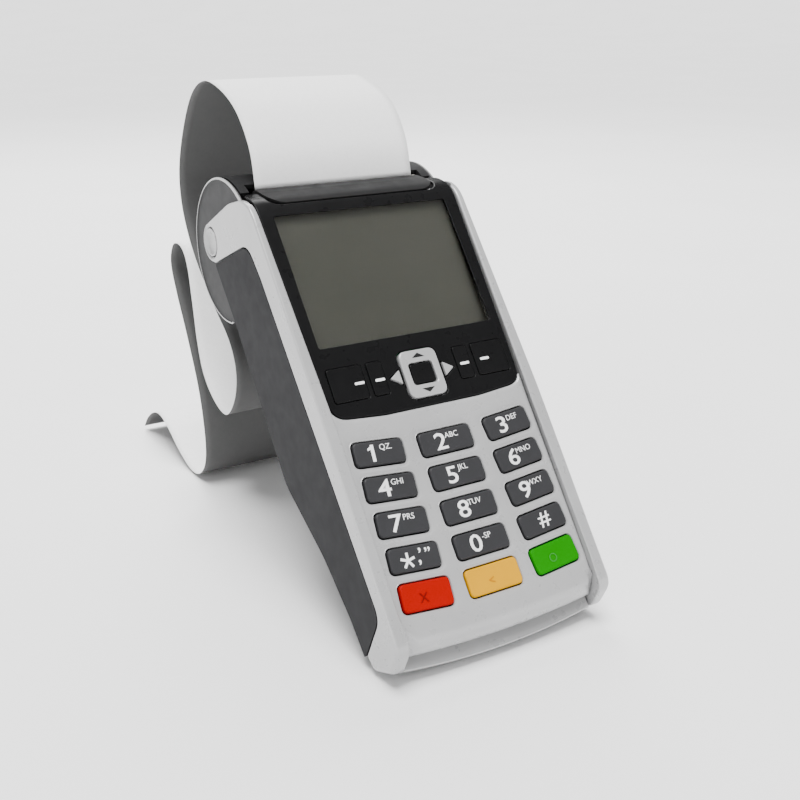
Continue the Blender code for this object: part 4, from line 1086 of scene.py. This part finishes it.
def smooth_route(points, steps):
    """A smooth curve through all the points, read at even shares of each stretch between two of them."""
    ends = [points[0] * 2 - points[1]] + points + [points[-1] * 2 - points[-2]]
    curve = []
    for a, p, q, z in zip(ends, ends[1:], ends[2:], ends[3:]):
        for k in range(steps):
            t = k / steps
            curve.append(0.5 * (2 * p + (q - a) * t + (2 * a - 5 * p + 4 * q - z) * t**2
                                + (3 * p - a - 3 * q + z) * t**3))
    return curve + [points[-1]]


def make_receipt():
    """The receipt: one thin strip, its edges a touch wavier than its middle, its reverse side drawn nearly
    black as painted shade.
    """
    route = smooth_route([Vector(p) for p in RECEIPT_ROUTE], 8)
    across = 20
    waviness = 0.12
    bm = bmesh.new()
    rows = []
    for i, point in enumerate(route):
        ahead = route[min(i + 1, len(route) - 1)] - route[max(i - 1, 0)]
        normal = Vector((-ahead.y, ahead.x)).normalized()
        row = []
        for k in range(across + 1):
            x = PAPER_WIDTH * (k / across - 0.5)
            curl = waviness * (2 * k / across - 1) ** 4 * math.sin(i * 0.35 + (1.5 if x > 0 else 0.0))
            spot = point + normal * curl
            row.append(bm.verts.new((x, spot.x, spot.y)))
        rows.append(row)
    for a, b in zip(rows, rows[1:]):
        for k in range(across):
            bm.faces.new((a[k], a[k + 1], b[k + 1], b[k]))
    bmesh.ops.recalc_face_normals(bm, faces=bm.faces)
    strip = piece("receipt_strip", bm, ["thermal_paper", "paper_reverse_painted_shade"], "thermal_paper", None, "receipt",
                  place=UPRIGHT, smooth=False)
    strip.data.shade_smooth()
    wall = strip.modifiers.new("thickness", "SOLIDIFY")
    wall.thickness = PAPER_THICKNESS * MM
    wall.offset = 0.0
    # the reverse side takes the nearly black paper: painted shade
    wall.material_offset = 1
    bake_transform(strip)


# ---- CAD pieces that stay ----

STAYING = {
    "dark_plastic": ["lower_casing", "battery_door", "swipe_reader_wall"],
    "black_plastic": ["chip_card_reader"],
    "display_glass": ["display_lens"],
    "lcd_grey": ["lcd_module"],
    "gear_nylon": ["platen_gear", "idler_gear_1", "idler_gear_2", "motor_pinion"],
    "platen_rubber": ["platen_roller"],
    "steel": ["case_screw_1", "case_screw_2", "case_screw_3", "case_screw_4", "cover_hinge_pin",
              "gear_bracket", "printer_motor", "print_head", "mag_head"],
    "circuit_board": ["keypad_board", "main_board"],
    "battery_wrap": ["battery_pack"],
    "silicone_rubber": ["keypad_mat"],
    "gold_contact": ["chip_contacts"],
    "core_card": ["roll_core"],
    "paper_roll": ["paper_roll"],
}


def dress_cad():
    """Better materials for the CAD nodes that show, and a small rounding on their edges."""
    for look, nodes in STAYING.items():
        for name in nodes:
            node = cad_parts[name]
            node.data.materials.clear()
            node.data.materials.append(LOOKS[look])
            weld = node.modifiers.new("weld", "WELD")
            weld.merge_threshold = 0.005 * MM
            rim = node.modifiers.new("rim", "BEVEL")
            rim.width = 0.25 * MM
            rim.segments = 2
            rim.limit_method = "ANGLE"
            rim.angle_limit = math.radians(40)
            rim.use_clamp_overlap = True
            node.data.shade_smooth()
            node.modifiers.new("flats", "WEIGHTED_NORMAL").keep_sharp = True


# ---- camera, floor and light ----


CAMERA_AT = (-172.8, -254.9, 123.4)
CAMERA_TOWARDS = (0.492, 0.801, -0.341)
LENS = 49.5
SENSOR_WIDTH = 36.0
# the floor is flat out to this radius in metres, and climbs beyond it
FLOOR_FLAT = 3.0
FLOOR_SLOPE = math.tan(math.radians(16))
FLOOR_SIDES = 64
LIGHT_AIM = (0.0, 40.0, 0.0)
WORLD_STRENGTH = 0.35


def make_camera():
    """The camera that the photograph was matched with."""
    data = bpy.data.cameras.new("camera")
    data.lens = LENS
    data.sensor_width = SENSOR_WIDTH
    data.clip_start = 0.01
    camera = in_scene("camera", data)
    camera.location = UPRIGHT @ Vector(CAMERA_AT)
    camera.rotation_euler = Vector(CAMERA_TOWARDS).to_track_quat("-Z", "Y").to_euler()
    bpy.context.scene.camera = camera


def make_floor():
    """A pale floor, flat round the terminal and rising gently beyond, so that no horizon shows."""
    profile = [(1.0, 0.0), (FLOOR_FLAT, 0.0)]
    for r in (1, 2, 3, 4, 6, 8, 14, 24):
        profile.append((FLOOR_FLAT + r, FLOOR_SLOPE * r * smooth_step(r / 8.0)))
    bm = loft([along_w(circle_outline(0.0, 0.0, r, FLOOR_SIDES), z) for r, z in profile], caps=False)
    bm.verts.ensure_lookup_table()
    bm.faces.new(bm.verts[:FLOOR_SIDES])
    bmesh.ops.recalc_face_normals(bm, faces=bm.faces)
    floor = linked_object("floor", bm)
    floor.data.shade_smooth()
    look = Look("pale_floor", 0.8, Specular_IOR_Level=0.1)
    look.tint(look.noise(6.0), (0.90, 0.90, 0.90), (0.93, 0.93, 0.93))
    floor.data.materials.append(look.material)


def add_light(name, kind, power):
    data = bpy.data.lights.new(name, kind)
    data.energy = power
    return in_scene(name, data)


def make_sun(source, power, spread):
    """A wide, soft sun shining from a direction, so that the pale floor is lit evenly."""
    light = add_light("overhead_light", "SUN", power)
    light.data.angle = math.radians(spread)
    light.rotation_euler = (-Vector(source)).to_track_quat("-Z", "Y").to_euler()


def make_light(name, at, size, power):
    """A round lamp at a place in the upright frame, aimed at the terminal; its size is in metres."""
    light = add_light(name, "AREA", power)
    light.data.shape = "DISK"
    light.data.size = size
    light.location = UPRIGHT @ Vector(at)
    towards = UPRIGHT @ Vector(LIGHT_AIM) - light.location
    light.rotation_euler = towards.to_track_quat("-Z", "Y").to_euler()


def make_world():
    world = bpy.data.worlds.new("studio")
    world.use_nodes = True
    background = world.node_tree.nodes["Background"]
    background.inputs["Color"].default_value = (1.0, 1.0, 1.0, 1.0)
    background.inputs["Strength"].default_value = WORLD_STRENGTH
    bpy.context.scene.world = world


# ---- assembly ----

for arm_side, arm_name in ((-1, "arm_left"), (1, "arm_right")):
    make_arm(arm_side, arm_name)
make_panel()
make_lip()
make_keys()
make_bezel()
make_soft_keys()
make_navigation()
make_tear_bar()
make_drum()
make_release_buttons()
make_receipt()
dress_cad()
make_camera()
make_floor()
make_sun(source=(-0.12, -0.12, 1.0), power=6.0, spread=35.0)
make_light("side_light", at=(-1300.0, -500.0, 500.0), size=0.7, power=4.0)
make_light("back_light", at=(300.0, 900.0, 900.0), size=0.7, power=14.0)
make_world()
